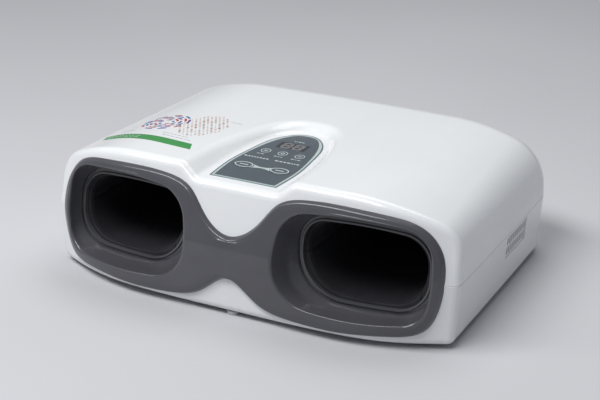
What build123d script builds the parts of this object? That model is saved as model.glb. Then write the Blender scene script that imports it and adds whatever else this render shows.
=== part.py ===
from build123d import *
from math import asin, atan2, copysign, cos, degrees, radians, sin, tan
import os

# Air compression hand massager: two padded hand tunnels behind a spectacle-shaped front bezel,
# in a white two-part casing with a control panel sunk into its top.
# Millimetres. X runs across, Y from the front (low) to the back, Z up from the floor.
# The origin is on the floor, under the middle of the whole object.

os.makedirs("parts", exist_ok=True)

# Casing: outline in plan
side_half_width = 220.0
widest_y = -115.0
side_taper = 0.020
side_bow = 0.00003
front_y = -152.0
rear_y = 157.0
front_mid_radius = 3300.0
front_mid_half = 100.0
front_end_radius = 238.0
front_end_turn = 36.0
front_lean = 13.6

# Casing: heights and profile
foot_height = 4.0
seam_z = 65.0
crest_z = 141.8
crest_y = -131.0
top_fall = 0.022
crown_radius = 6000.0
crown_half_width = 112.0
shoulder_radius = 210.0
shoulder_angle_front = 27.0
shoulder_angle_rear = 18.5
upper_draft = 2.5
lower_draft = 4.0
rear_round = 40.0
front_edge_round = 9.0
bottom_edge_round = 8.0
wall = 2.6
seam_chamfer = 0.5
past = 40.0

# Front bezel and its mouths
bezel_proud = 5.0
bezel_edge_round = 3.4
bezel_land = 4.5
bezel_kink_round = 70.0
bezel_points = 56
funnel_wall = 2.4
fit_gap = 0.15
mouth_x = 127.0
mouth_z = 69.0
mouth_y = -116.0
mouth_yaw = 5.0
mouth_pitch = 8.0
mouth_ring_thickness = 3.0
mouth_bead = 1.6
mouth_bead_width = 2.2

# Control panel and the hollow it lies in
panel_front_y = -122.0
panel_length = 136.3
panel_front_half = 36.0
panel_widest_half = 38.6
panel_widest_share = 0.31
panel_waist = (0.92, 0.55)
panel_crown = (0.5, 0.925)
panel_flare = 0.09
panel_z = 128.5
panel_rise = 0.55
console_straight = 0.25
console_waist = (0.92, 0.58)
console_crown = (0.56, 0.93)
console_margin = 5.0
console_run = 14.5
console_depth = 12.0
console_floor_round = 9.0
console_rim_round = 16.0

# Screws
post_radius = 5.0
screw_radius = 1.5
screw_head_radius = 3.4
screw_head_height = 2.4


def half_width(y):
    """Half the casing's width at the seam."""
    back = y - widest_y
    return side_half_width - side_taper * back - side_bow * back**2


def top_z(y):
    """Height of the crown line over the middle of the casing."""
    return crest_z - top_fall * (y - crest_y)


def across(y):
    """An upright plane across the casing, with X across and Z up."""
    return Plane.XZ.offset(-y)


def upper_section(y, inset):
    """The upper casing cut across at y: crown, shoulder, corner and leaning side, all tangent."""
    share = (y - front_y) / (rear_y - front_y)
    turn_end = radians(shoulder_angle_front + (shoulder_angle_rear - shoulder_angle_front) * share)
    turn_start = asin(crown_half_width / crown_radius)
    lean = radians(upper_draft)
    high = top_z(y) - inset
    low = high - (crown_radius - inset) * (1 - cos(turn_start))
    crown_x = (crown_radius - inset) * sin(turn_start)
    radius = shoulder_radius - inset
    width = half_width(y) - inset
    corner_x = crown_x + radius * (sin(turn_end) - sin(turn_start))
    corner_z = low - radius * (cos(turn_start) - cos(turn_end))
    room = width - corner_x - (corner_z - seam_z) * tan(lean)
    corner_radius = room / (cos(lean) - sin(turn_end) - tan(lean) * (cos(turn_end) - sin(lean)))
    with BuildSketch(across(y)) as section:
        with BuildLine():
            ThreePointArc((-crown_x, low), (0, high), (crown_x, low))
            shoulder = JernArc(
                (crown_x, low), (cos(turn_start), -sin(turn_start)), radius, degrees(turn_start - turn_end)
            )
            corner = JernArc(shoulder @ 1, shoulder % 1, corner_radius, degrees(turn_end + lean) - 90)
            side = Line(corner @ 1, (width, seam_z))
            mirror([shoulder, corner, side], about=Plane.YZ)
            Line((width, seam_z), (-width, seam_z))
        make_face()
    return section.sketch


def lower_section(y, inset):
    """The lower casing cut across at y, with its sides drawn in towards the base."""
    width = half_width(y) - inset
    base_z = foot_height + inset
    base_width = width - (seam_z - base_z) * tan(radians(lower_draft))
    with BuildSketch(across(y)) as section:
        Polygon((-width, seam_z), (width, seam_z), (base_width, base_z), (-base_width, base_z), align=None)
    return section.sketch


def behind_front(inset):
    """Everything behind the bowed front, in plan at the seam: nearly flat, then bending back."""
    turn = asin(front_mid_half / front_mid_radius)
    mid_radius = front_mid_radius - inset
    end_radius = front_end_radius - inset
    joint = Vector(mid_radius * sin(turn), front_y + inset + mid_radius * (1 - cos(turn)))
    bends = [turn + radians(front_end_turn) * step / 4 for step in range(5)]
    ends = [
        joint + Vector(end_radius * (sin(bend) - sin(turn)), end_radius * (cos(turn) - cos(bend)))
        for bend in bends
    ]
    points = [Vector(-point.X, point.Y) for point in reversed(ends)] + [Vector(0, front_y + inset)] + ends
    slope = Vector(cos(bends[-1]), sin(bends[-1]))
    with BuildSketch(Plane.XY.offset(seam_z)) as region:
        with BuildLine():
            Spline(*points, tangents=(Vector(slope.X, -slope.Y), slope))
            far = Line(ends[-1], (ends[-1].X + past, rear_y + past))
            mirror(far, about=Plane.YZ)
            Line(far @ 1, (-(far @ 1).X, rear_y + past))
        make_face()
    return region.sketch


def front_faces(part):
    return [face for face in part.faces() if face.normal_at().Y < -0.6]


def outer_edges(faces, level):
    """The edges round a group of faces, without those at one height."""
    edges = [edge for face in faces for edge in face.edges()]
    return [edge for edge in edges if edges.count(edge) == 1 and abs(edge.center().Z - level) > 1]


lean_direction = Vector(0, sin(radians(front_lean)), cos(radians(front_lean)))


def console_form(inset):
    """The hollow in the top, with walls that slope out as they rise."""
    with BuildPart() as hollow:
        for level in (-inset, console_depth + past / 4):
            run = console_run * (level + inset) / console_depth
            with BuildSketch(console_plane.offset(level)):
                add(console_outline(console_margin + inset / 2 + run))
        loft(ruled=True)
    return hollow.part


def upper_form(inset):
    """The space inside the upper casing's outside, drawn in by a constant inset."""
    with BuildPart() as form:
        for y in (front_y - past, (front_y + rear_y) / 2, rear_y - inset):
            add(upper_section(y, inset))
        loft()
        rear = form.faces().sort_by(Axis.Y)[-1]
        fillet([edge for edge in rear.edges() if edge.center().Z > seam_z + 1], radius=rear_round - inset)
        before = form.edges()
        add(console_form(inset), mode=Mode.SUBTRACT)
        hollow_edges = [edge for edge in form.edges() - before if edge.center().Y > front_y - past + 1]
        floor_edges = [edge for edge in hollow_edges if edge.bounding_box().max.Z < panel_z + 2.5 - inset]
        rim_edges = [edge for edge in hollow_edges if edge not in floor_edges]
        fillet(floor_edges, radius=console_floor_round + inset)
        fillet([edge for edge in form.edges() if edge in rim_edges], radius=console_rim_round - inset)
        add(behind_front(inset))
        extrude(amount=crest_z, dir=lean_direction, mode=Mode.INTERSECT)
        fillet(outer_edges(front_faces(form), seam_z), radius=front_edge_round - inset)
    return form.part


def lower_form(inset):
    """The space inside the lower casing's outside, drawn in by a constant inset."""
    with BuildPart() as form:
        for y in (front_y - past, (front_y + rear_y) / 2, rear_y - inset):
            add(lower_section(y, inset))
        loft()
        rear = form.faces().sort_by(Axis.Y)[-1]
        fillet([edge for edge in rear.edges() if abs(edge.center().X) > 100], radius=rear_round - inset)
        add(behind_front(inset))
        extrude(amount=-seam_z, mode=Mode.INTERSECT)
        corners = [edge for edge in outer_edges(front_faces(form), seam_z) if abs(edge.center().X) > 190]
        fillet(corners, radius=front_edge_round - inset)
        fillet(form.faces().sort_by(Axis.Z)[0].edges(), radius=bottom_edge_round - inset)
    return form.part


def front_slab(inset):
    """Everything behind the front, leaning above the seam and upright below it."""
    with BuildPart() as slab:
        add(behind_front(inset))
        extrude(amount=crest_z, dir=lean_direction)
        add(behind_front(inset))
        extrude(amount=-seam_z - past)
    return slab.part


def bezel_outline(inset):
    """The spectacle outline of the bezel, seen from the front, drawn in by an inset."""
    right = [
        (27, 96.6), (48, 121), (82.3, 129.7), (147.4, 127.2), (187, 115.5), (204, 93), (207.7, 69),
        (204.5, 43), (193, 20), (161, 12.0), (112.3, 9.4), (66, 10.9), (31, 20.6),
    ]
    left = [(-x, z) for x, z in reversed(right)]
    corners = [(0, 82.4), *right, (0, 39.7), *left]
    outside = Edge.make_spline([Vector(*corner) for corner in corners], periodic=True)
    points = []
    for number in range(bezel_points):
        share = number / bezel_points
        along = outside % share
        points.append(outside @ share + Vector(along.Y, -along.X) * inset)
    with BuildSketch(across(0)) as outline:
        with BuildLine():
            Spline(*points, periodic=True)
        make_face()
    return outline.sketch


def panel_outline(inset):
    """The arched outline of the control panel, in its own plane from its front edge."""
    front_half = panel_front_half - inset
    widest_half = panel_widest_half - inset
    tip = panel_length - inset
    with BuildSketch() as outline:
        with BuildLine():
            side = Spline(
                (front_half, inset), (widest_half, panel_widest_share * tip),
                (panel_waist[0] * widest_half, panel_waist[1] * tip),
                (panel_crown[0] * widest_half, panel_crown[1] * tip), (0, tip),
                tangents=((panel_flare, 1), (-1, 0)),
            )
            mirror(side, about=Plane.YZ)
            Line((front_half, inset), (-front_half, inset))
        make_face()
    return outline.sketch


console_plane = Plane(
    origin=(0, panel_front_y, panel_z), x_dir=(1, 0, 0),
    z_dir=(0, -sin(radians(panel_rise)), cos(radians(panel_rise))),
)


def console_outline(spread):
    """The hollow round the panel: the panel's sides carried straight on past the front."""
    half = panel_widest_half + spread
    with BuildSketch() as outline:
        with BuildLine():
            side = Spline(
                (half, console_straight * panel_length),
                (console_waist[0] * half, console_waist[1] * panel_length),
                (console_crown[0] * half, console_crown[1] * panel_length + console_crown[0] * spread),
                (0, panel_length + spread),
                tangents=((0, 1), (-1, 0)),
            )
            run = Line((half, console_straight * panel_length), (half, -2 * past))
            mirror([side, run], about=Plane.YZ)
            Line((half, -2 * past), (-half, -2 * past))
        make_face()
    return outline.sketch


def finish(name, part):
    """Labels a finished piece and writes it."""
    part.label = name
    export_step(part, "parts/" + name + ".step")


mouth_plane = Plane(
    origin=(mouth_x, mouth_y, mouth_z),
    x_dir=(cos(radians(mouth_yaw)), sin(radians(mouth_yaw)), 0),
    z_dir=(
        sin(radians(mouth_yaw)) * cos(radians(mouth_pitch)),
        -cos(radians(mouth_yaw)) * cos(radians(mouth_pitch)),
        sin(radians(mouth_pitch)),
    ),
)


def rounded_outline(corners, radii, bulge, spread):
    """Four bowed sides with a round of its own at each corner, spread outwards all round."""
    corners = [(x + spread * copysign(1, x), y + spread * copysign(1, y)) for x, y in corners]
    with BuildSketch() as outline:
        with BuildLine():
            for start, end in zip(corners, corners[1:] + corners[:1]):
                SagittaArc(start, end, bulge)
        make_face()
        for corner, radius in zip(corners, radii):
            fillet(outline.vertices().sort_by_distance(Vector(*corner))[0], radius=radius + spread)
    return outline.sketch


# Corners run inner bottom, outer bottom, outer top, inner top, from the mouth's middle.
# The funnel's three outlines give their distance in front of the mouth, corners and radii.
hole_corners = [(-60, -37), (59, -37), (60, 30.5), (-59.5, 33)]
hole_radii = [44, 32, 28, 22]
throat = (0.0, [(-66.5, -43.5), (65.5, -43), (67, 37.5), (-66, 39.5)], [46, 34, 30, 26])
step = (12.0, [(-73.5, -46.5), (66, -44.5), (68.5, 43), (-72, 45)], [38, 24, 29, 30])
lip = (45.0, [(-91.5, -47.5), (67, -50), (69, 47), (-84.5, 46.5)], [38, 22, 30, 36])
side_bulge = -3.0


def funnel_form(spread):
    """The inside of the right mouth, from the face back to the throat, spread outwards."""
    with BuildPart() as funnel:
        for pair in ((lip, step), (step, throat)):
            for reach, corners, radii in pair:
                with BuildSketch(mouth_plane.offset(reach)):
                    add(rounded_outline(corners, radii, side_bulge, spread))
            loft(ruled=True)
    return funnel.part


def bezel_block():
    """Everything behind the bezel's face and inside its outline, with the bend at the seam rounded."""
    with BuildPart() as block:
        add(front_slab(-bezel_proud))
        with BuildSketch(across(front_y - past)):
            add(bezel_outline(0))
        extrude(amount=-2.5 * past, mode=Mode.INTERSECT)
        bends = [edge for edge in block.edges() if abs(edge.center().Z - seam_z) < 1 and edge.center().Y < mouth_y]
        fillet(bends, radius=bezel_kink_round)
    return block.part


sides = ("right", "left")


def both_sides(part):
    """A right-hand piece and its mirror image on the left."""
    return {"right": part, "left": mirror(part, about=Plane.YZ)}


# Front bezel: a raised spectacle frame with a funnel running back from each opening
with BuildPart() as funnel_skin:
    add(funnel_form(funnel_wall))
    add(front_slab(-bezel_proud / 2), mode=Mode.INTERSECT)

funnels = both_sides(funnel_form(0))
funnel_skins = both_sides(funnel_skin.part)
funnel_passages = both_sides(funnel_form(funnel_wall + fit_gap))
with BuildPart() as front_bezel:
    add(bezel_block())
    add(front_slab(0), mode=Mode.SUBTRACT)
    fillet(outer_edges(front_faces(front_bezel), -past), radius=bezel_edge_round)
    for side in sides:
        add(funnel_skins[side])
        add(funnels[side], mode=Mode.SUBTRACT)
finish("front_bezel", front_bezel.part)

# Control panel: trim, printed overlay, two oval buttons, display window and three lenses
panel_seat = 1.2
panel_trim_thickness = 1.6
panel_border = 3.4
overlay_thickness = 0.6
button_x = 19.5
button_y = 37.5
button_length = 21.0
button_width = 14.0
button_gap = 0.4
button_travel = 0.8
button_rise = 0.5
button_flange = 1.6
button_flange_height = 1.4
window_y = 101.0
window_length = 31.0
window_width = 16.0
lens_y = 80.0
lens_pitch = 18.8
lens_radius = 3.6
panel_top = panel_trim_thickness - panel_seat


def on_console(level):
    """A plane parallel to the console floor, at a height over it."""
    return console_plane.offset(level)


def panel_cuts(button_spread, spread, top, depth):
    """Holes down through the panel for the buttons, the window and the lenses."""
    with BuildPart() as cuts:
        with BuildSketch(on_console(top)):
            with Locations((-button_x, button_y), (button_x, button_y)):
                Ellipse(button_length / 2 + button_spread, button_width / 2 + button_spread)
            with Locations((0, window_y)):
                Rectangle(window_length + 2 * spread, window_width + 2 * spread)
            with Locations(*[(place * lens_pitch, lens_y) for place in (-1, 0, 1)]):
                Circle(lens_radius + spread)
        extrude(amount=-depth)
    return cuts.part


with BuildPart() as panel_trim:
    with BuildSketch(on_console(panel_top)):
        add(panel_outline(0))
    extrude(amount=-panel_trim_thickness)
    with BuildSketch(on_console(panel_top)):
        add(panel_outline(panel_border))
    extrude(amount=-overlay_thickness, mode=Mode.SUBTRACT)
    add(panel_cuts(button_gap, fit_gap, panel_top, panel_trim_thickness), mode=Mode.SUBTRACT)
finish("panel_trim", panel_trim.part)

with BuildPart() as panel_overlay:
    with BuildSketch(on_console(panel_top)):
        add(panel_outline(panel_border + fit_gap))
    extrude(amount=-overlay_thickness)
    add(panel_cuts(button_gap, fit_gap, panel_top, panel_trim_thickness), mode=Mode.SUBTRACT)
finish("panel_overlay", panel_overlay.part)

with BuildPart() as display_window:
    with BuildSketch(on_console(panel_top)):
        with Locations((0, window_y)):
            Rectangle(window_length, window_width)
    extrude(amount=-panel_trim_thickness)
finish("display_window", display_window.part)

with BuildPart() as indicator_lenses:
    with BuildSketch(on_console(panel_top)):
        with Locations(*[(place * lens_pitch, lens_y) for place in (-1, 0, 1)]):
            Circle(lens_radius)
    extrude(amount=-panel_trim_thickness)
finish("indicator_lenses", indicator_lenses.part)

# Control board under the console floor, hung on four posts
board_drop = 14.0
board_thickness = 1.6
board_front = 8.0
board_length = 118.0
board_half_front = 31.0
board_half_rear = 22.0
board_straight = 70.8
board_posts = [(27, 20), (20, 114)]
board_post_radius = 3.5
board_screw_radius = 1.2
board_screw_head_radius = 2.4
board_screw_head_height = 1.6
board_screw_grip = 6.0
switch_size = 6.0
switch_height = 3.5
switch_plunger_radius = 1.7
switch_plunger_height = 1.5
switch_clearance = 0.1
display_size = (29.0, 14.0)
display_gap = 0.4

mirrored_board_posts = [(side * x, y) for x, y in board_posts for side in (-1, 1)]
plunger_top = switch_height + switch_plunger_height - board_drop
flange_top = -wall - fit_gap

for name, x in (("start_button", -button_x), ("mode_button", button_x)):
    with BuildPart() as button:
        with BuildSketch(on_console(panel_top + button_rise)):
            with Locations((x, button_y)):
                Ellipse(button_length / 2, button_width / 2)
        extrude(amount=flange_top - panel_top - button_rise)
        fillet(button.faces().sort_by(Axis.Z)[-1].edges(), radius=button_rise)
        with BuildSketch(on_console(flange_top)):
            with Locations((x, button_y)):
                Ellipse(button_length / 2 + button_flange, button_width / 2 + button_flange)
        extrude(amount=-button_flange_height)
        with BuildSketch(on_console(flange_top - button_flange_height)):
            with Locations((x, button_y)):
                Circle(switch_plunger_radius)
        extrude(amount=plunger_top + button_travel + switch_clearance - flange_top + button_flange_height)
    finish(name, button.part)

with BuildPart() as control_board:
    with BuildSketch(on_console(-board_drop)):
        Polygon(
            (-board_half_front, board_front), (board_half_front, board_front),
            (board_half_front, board_front + board_straight), (board_half_rear, board_front + board_length),
            (-board_half_rear, board_front + board_length), (-board_half_front, board_front + board_straight),
            align=None,
        )
        with Locations(*mirrored_board_posts):
            Circle(board_screw_radius, mode=Mode.SUBTRACT)
    extrude(amount=-board_thickness)
finish("control_board", control_board.part)

with BuildPart() as tact_switches:
    with BuildSketch(on_console(-board_drop)):
        with Locations((-button_x, button_y), (button_x, button_y)):
            Rectangle(switch_size, switch_size)
    extrude(amount=switch_height)
    with BuildSketch(on_console(switch_height - board_drop)):
        with Locations((-button_x, button_y), (button_x, button_y)):
            Circle(switch_plunger_radius)
    extrude(amount=switch_plunger_height)
finish("tact_switches", tact_switches.part)

with BuildPart() as display_module:
    with BuildSketch(on_console(-board_drop)):
        with Locations((0, window_y)):
            Rectangle(*display_size)
    extrude(amount=board_drop - panel_seat - display_gap)
finish("display_module", display_module.part)

# Hand tunnels: a rigid chamber behind each mouth, a ring at its front, a fabric sleeve and two air cells
chamber_inner_x = 58.0
chamber_outer_x = 197.0
chamber_bottom_z = 12.0
chamber_top_z = 122.0
chamber_rear_y = 55.0
chamber_wall = 2.5
chamber_radii = (20, 24, 34, 22)
sleeve_gap = 0.6
sleeve_thickness = 1.2
sleeve_end_gap = 8.0
sleeve_split = 0.3
cell_front_y = -96.0
cell_length = 134.0
cell_width = 74.0
upper_cell_height = 9.0
lower_cell_height = 11.8
cell_gap = 0.4
cell_round = 3.0
cell_corner = 12.0
port_radius = 2.5
port_bore_radius = 1.3
port_length = 10.0
upper_port = (20.0, 100.0)
lower_port = (12.0, 52.0)
lug_length = 12.0
lug_thickness = 3.0
lug_reach = 10.0
lug_ys = (-80.0, -5.0)
lug_x = chamber_inner_x - lug_reach / 2


def chamber_outline(inset):
    """The chamber cut across, drawn in by an inset."""
    left, right = chamber_inner_x + inset, chamber_outer_x - inset
    low, high = chamber_bottom_z + inset, chamber_top_z - inset
    corners = [(left, low), (right, low), (right, high), (left, high)]
    with BuildSketch() as outline:
        Polygon(*corners, align=None)
        for corner, radius in zip(corners, chamber_radii):
            fillet(outline.vertices().sort_by_distance(Vector(*corner))[0], radius=radius - inset)
    return outline.sketch


def run_back(outline, reach, rear):
    """An outline across the tunnel, run from a plane parallel to the mouth back to y = rear."""
    with BuildPart() as run:
        with BuildSketch(across(rear)):
            add(outline)
        extrude(amount=rear - front_y)
        with BuildSketch(mouth_plane.offset(reach)):
            Rectangle(side_half_width * 2, side_half_width * 2)
        extrude(amount=side_half_width * 2, mode=Mode.SUBTRACT)
    return run.part


def sleeve_outline(inset):
    return Pos(mouth_x, mouth_z) * rounded_outline(hole_corners, hole_radii, side_bulge, -inset)


with BuildPart() as chamber:
    add(run_back(chamber_outline(0), -mouth_ring_thickness, chamber_rear_y))
    add(run_back(chamber_outline(chamber_wall), 0, chamber_rear_y - chamber_wall), mode=Mode.SUBTRACT)
    for y, z in (upper_port, lower_port):
        with BuildSketch(Plane.YZ.offset(chamber_inner_x)):
            with Locations((y, z)):
                Circle(port_radius)
        extrude(amount=-port_length)
        with BuildSketch(Plane.YZ.offset(chamber_inner_x - port_length)):
            with Locations((y, z)):
                Circle(port_bore_radius)
        extrude(amount=port_length + chamber_wall, mode=Mode.SUBTRACT)
    with BuildSketch(Plane.XY.offset(chamber_bottom_z + chamber_radii[0])):
        with Locations(*[(lug_x + 1, y) for y in lug_ys]):
            Rectangle(lug_reach + 2, lug_length)
    extrude(amount=lug_thickness)
    with BuildSketch(Plane.XY.offset(chamber_bottom_z + chamber_radii[0])):
        with Locations(*[(lug_x - 1, y) for y in lug_ys]):
            Circle(screw_radius)
    extrude(amount=lug_thickness, mode=Mode.SUBTRACT)

with BuildPart() as mouth_ring:
    add(run_back(chamber_outline(0), 0, chamber_rear_y))
    add(run_back(chamber_outline(0), -mouth_ring_thickness, chamber_rear_y), mode=Mode.SUBTRACT)
    with BuildSketch(mouth_plane):
        add(rounded_outline(hole_corners, hole_radii, side_bulge, mouth_bead_width))
    extrude(amount=mouth_bead)
    fillet(mouth_ring.faces().sort_by(Axis((0, 0, 0), mouth_plane.z_dir))[-1].edges(), radius=mouth_bead / 2)
    with BuildSketch(mouth_plane.offset(mouth_bead)):
        add(rounded_outline(hole_corners, hole_radii, side_bulge, 0))
    extrude(amount=-2 * mouth_ring_thickness, mode=Mode.SUBTRACT)

sleeve_rear = chamber_rear_y - chamber_wall - sleeve_end_gap
with BuildPart() as sleeve:
    add(run_back(sleeve_outline(sleeve_gap), -mouth_ring_thickness - cell_gap, sleeve_rear))
    inner_outline = sleeve_outline(sleeve_gap + sleeve_thickness)
    add(run_back(inner_outline, 0, sleeve_rear - sleeve_thickness), mode=Mode.SUBTRACT)


def half_of(part, level, keep):
    """The part of a piece over or under a level plane."""
    with BuildPart() as half:
        add(part)
        split(bisect_by=Plane.XY.offset(level), keep=keep)
    return half.part


def air_cell(low, height):
    """A flat rounded bladder lying in the chamber."""
    with BuildPart() as cell:
        with BuildSketch(Plane.XY.offset(low)):
            with Locations((mouth_x, cell_front_y + cell_length / 2)):
                RectangleRounded(cell_width, cell_length, cell_corner)
        extrude(amount=height)
        fillet(cell.faces().sort_by(Axis.Z)[-1].edges(), radius=cell_round)
        fillet(cell.faces().sort_by(Axis.Z)[0].edges(), radius=cell_round)
    return cell.part


right_pieces = {
    "chamber": chamber.part,
    "mouth_ring": mouth_ring.part,
    "sleeve_upper": half_of(sleeve.part, mouth_z + sleeve_split / 2, Keep.TOP),
    "sleeve_lower": half_of(sleeve.part, mouth_z - sleeve_split / 2, Keep.BOTTOM),
    "upper_air_cell": air_cell(chamber_top_z - chamber_wall - cell_gap - upper_cell_height, upper_cell_height),
    "lower_air_cell": air_cell(chamber_bottom_z + chamber_wall + cell_gap, lower_cell_height),
}
for name, piece in right_pieces.items():
    for side, part in both_sides(piece).items():
        finish(side + "_" + name, part)

# Upper casing: shell, console seats and screw posts hanging from its ceiling
posts = [(34, -133), (206, -64), (185, 102)]
screw_sink = 6.0
screw_grip = 12.0
with BuildPart() as front_skin:
    add(front_slab(0))
    add(front_slab(wall + fit_gap), mode=Mode.SUBTRACT)

with BuildPart() as front_opening:
    with BuildSketch(across(front_y - past)):
        add(bezel_outline(bezel_land))
    extrude(amount=-2 * past)
    add(front_skin.part, mode=Mode.INTERSECT)


def mirrored_places(places):
    return [(side * x, y) for x, y in places for side in (-1, 1)]


def pegs(places, radius, low, high):
    """Upright cylinders on both sides, between two heights."""
    with BuildPart() as group:
        with BuildSketch(Plane.XY.offset(low)):
            with Locations(*mirrored_places(places)):
                Circle(radius)
        extrude(amount=high - low)
    return group.part


with BuildPart() as upper_hollow:
    add(upper_form(wall))
    add(pegs(posts, post_radius, seam_z - past, crest_z), mode=Mode.SUBTRACT)
    with BuildSketch(on_console(0)):
        with Locations(*mirrored_board_posts):
            Circle(board_post_radius)
    extrude(amount=-board_drop, mode=Mode.SUBTRACT)

with BuildPart() as upper_casing:
    add(upper_form(0))
    chamfer(upper_casing.faces().sort_by(Axis.Z)[0].edges(), length=seam_chamfer)
    add(upper_hollow.part, mode=Mode.SUBTRACT)
    with BuildSketch(on_console(0)):
        add(panel_outline(-fit_gap))
    extrude(amount=-panel_seat, mode=Mode.SUBTRACT)
    add(panel_cuts(button_gap, fit_gap, 0, 2 * wall), mode=Mode.SUBTRACT)
    add(front_opening.part, mode=Mode.SUBTRACT)
    for side in sides:
        add(funnel_passages[side], mode=Mode.SUBTRACT)
    add(pegs(posts, screw_radius, seam_z - past, seam_z + screw_grip), mode=Mode.SUBTRACT)
    with BuildSketch(on_console(-board_drop)):
        with Locations(*mirrored_board_posts):
            Circle(board_screw_radius)
    extrude(amount=board_screw_grip, mode=Mode.SUBTRACT)
finish("upper_casing", upper_casing.part)

# Lower casing: shell with posts, standoffs, ribs under the chambers, side vents and the inlet hole
floor_z = foot_height + wall
rib_ys = (-60.0, 40.0)
rib_thickness = 2.5
lug_post_z = chamber_bottom_z + chamber_radii[0]
lug_places = [(lug_x - 1, y) for y in lug_ys]
main_board_z = 20.0
main_board_size = (90.0, 78.0)
main_board_y = -78.0
main_board_posts = [(40, main_board_y - 34), (40, main_board_y + 34)]
vent_front_y = 14.0
vent_length = 58.0
vent_low_z = 39.0
vent_high_z = 63.0
vent_gap = 0.2
vent_sink = 0.7
vent_slots = 10
vent_slot_width = 3.0
vent_margin = 3.0
vent_split = 2.6
inlet_x = -120.0
inlet_z = 30.0
inlet_radius = 5.5
inlet_bore_radius = 2.85
inlet_depth = 9.5
inlet_body = (14.0, 12.0, 13.0)
inlet_pin_radius = 1.0
inlet_flange_radius = 7.5
inlet_flange_thickness = 1.2
inlet_gap = 0.1
feet = [(178, -98), (172, 118)]
foot_radius = 9.0
front_foot_y = -142.0
front_foot_radius = 6.5
foot_spigot_radius = 3.0
foot_spigot_height = 2.0


def vent_box(spread):
    """The place of the right-hand vent in the side wall."""
    with BuildPart() as box:
        with BuildSketch(Plane.YZ.offset(side_half_width - past)):
            with Locations((vent_front_y + vent_length / 2, (vent_low_z + vent_high_z) / 2)):
                Rectangle(vent_length + 2 * spread, vent_high_z - vent_low_z + 2 * spread)
        extrude(amount=2 * past)
    return box.part


vent_boxes = both_sides(vent_box(0))

with BuildPart() as lower_hollow:
    add(lower_form(wall))
    add(pegs(posts, post_radius, foot_height, seam_z), mode=Mode.SUBTRACT)
    add(pegs(lug_places, post_radius, foot_height, lug_post_z), mode=Mode.SUBTRACT)
    add(pegs(main_board_posts, board_post_radius, foot_height, main_board_z), mode=Mode.SUBTRACT)
    with BuildSketch(Plane.XY.offset(foot_height)):
        middle = (chamber_inner_x + chamber_outer_x) / 2
        with Locations(*mirrored_places([(middle, y) for y in rib_ys])):
            Rectangle(chamber_outer_x - chamber_inner_x - 2 * chamber_radii[1], rib_thickness)
    extrude(amount=chamber_bottom_z - foot_height, mode=Mode.SUBTRACT)

foot_spigots = pegs(feet, foot_spigot_radius, foot_height, foot_height + foot_spigot_height)
with BuildPart() as front_spigot:
    with BuildSketch(Plane.XY.offset(foot_height)):
        with Locations((0, front_foot_y)):
            Circle(foot_spigot_radius)
    extrude(amount=foot_spigot_height)

with BuildPart() as lower_casing:
    add(lower_form(0))
    chamfer(lower_casing.faces().sort_by(Axis.Z)[-1].edges(), length=seam_chamfer)
    add(lower_hollow.part, mode=Mode.SUBTRACT)
    add(front_opening.part, mode=Mode.SUBTRACT)
    for side in sides:
        add(funnel_passages[side], mode=Mode.SUBTRACT)
        add(vent_boxes[side], mode=Mode.SUBTRACT)
    add(pegs(posts, screw_radius, foot_height, seam_z + screw_grip), mode=Mode.SUBTRACT)
    add(pegs(posts, screw_head_radius + fit_gap, foot_height, foot_height + screw_sink), mode=Mode.SUBTRACT)
    add(pegs(lug_places, screw_radius, lug_post_z - screw_grip, lug_post_z), mode=Mode.SUBTRACT)
    board_hole_z = main_board_z - board_screw_grip
    add(pegs(main_board_posts, board_screw_radius, board_hole_z, main_board_z), mode=Mode.SUBTRACT)
    add(foot_spigots, mode=Mode.SUBTRACT)
    add(front_spigot.part, mode=Mode.SUBTRACT)
    with BuildSketch(across(rear_y)):
        with Locations((inlet_x, inlet_z)):
            Circle(inlet_radius + inlet_gap)
    extrude(amount=2 * wall, mode=Mode.SUBTRACT)
finish("lower_casing", lower_casing.part)

# Vent grilles let into the sides: a frame with two rows of upright slots
with BuildPart() as vent_grille:
    add(lower_form(vent_sink))
    add(lower_form(wall + vent_sink), mode=Mode.SUBTRACT)
    add(vent_box(-vent_gap), mode=Mode.INTERSECT)
    row_height = (vent_high_z - vent_low_z - 2 * vent_margin - vent_split) / 2
    slot_pitch = (vent_length - 2 * vent_margin - vent_slot_width) / (vent_slots - 1)
    with BuildSketch(Plane.YZ.offset(side_half_width - past)):
        for row in (-1, 1):
            row_z = (vent_low_z + vent_high_z) / 2 + row * (row_height + vent_split) / 2
            for slot in range(vent_slots):
                slot_y = vent_front_y + vent_margin + vent_slot_width / 2 + slot * slot_pitch
                with Locations((slot_y, row_z)):
                    Rectangle(vent_slot_width, row_height)
    extrude(amount=2 * past, mode=Mode.SUBTRACT)
for side, part in both_sides(vent_grille.part).items():
    finish(side + "_vent_grille", part)

# Feet: four at the corners and one under the middle of the front
with BuildPart() as corner_feet:
    add(pegs(feet, foot_radius, 0, foot_height))
    fillet(corner_feet.faces().filter_by(Axis.Z).group_by(Axis.Z)[0].edges(), radius=1)
    add(foot_spigots)
finish("corner_feet", corner_feet.part)

with BuildPart() as front_foot:
    with BuildSketch():
        with Locations((0, front_foot_y)):
            Circle(front_foot_radius)
    extrude(amount=foot_height)
    fillet(front_foot.faces().sort_by(Axis.Z)[0].edges(), radius=1)
    add(front_spigot.part)
finish("front_foot", front_foot.part)

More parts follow.
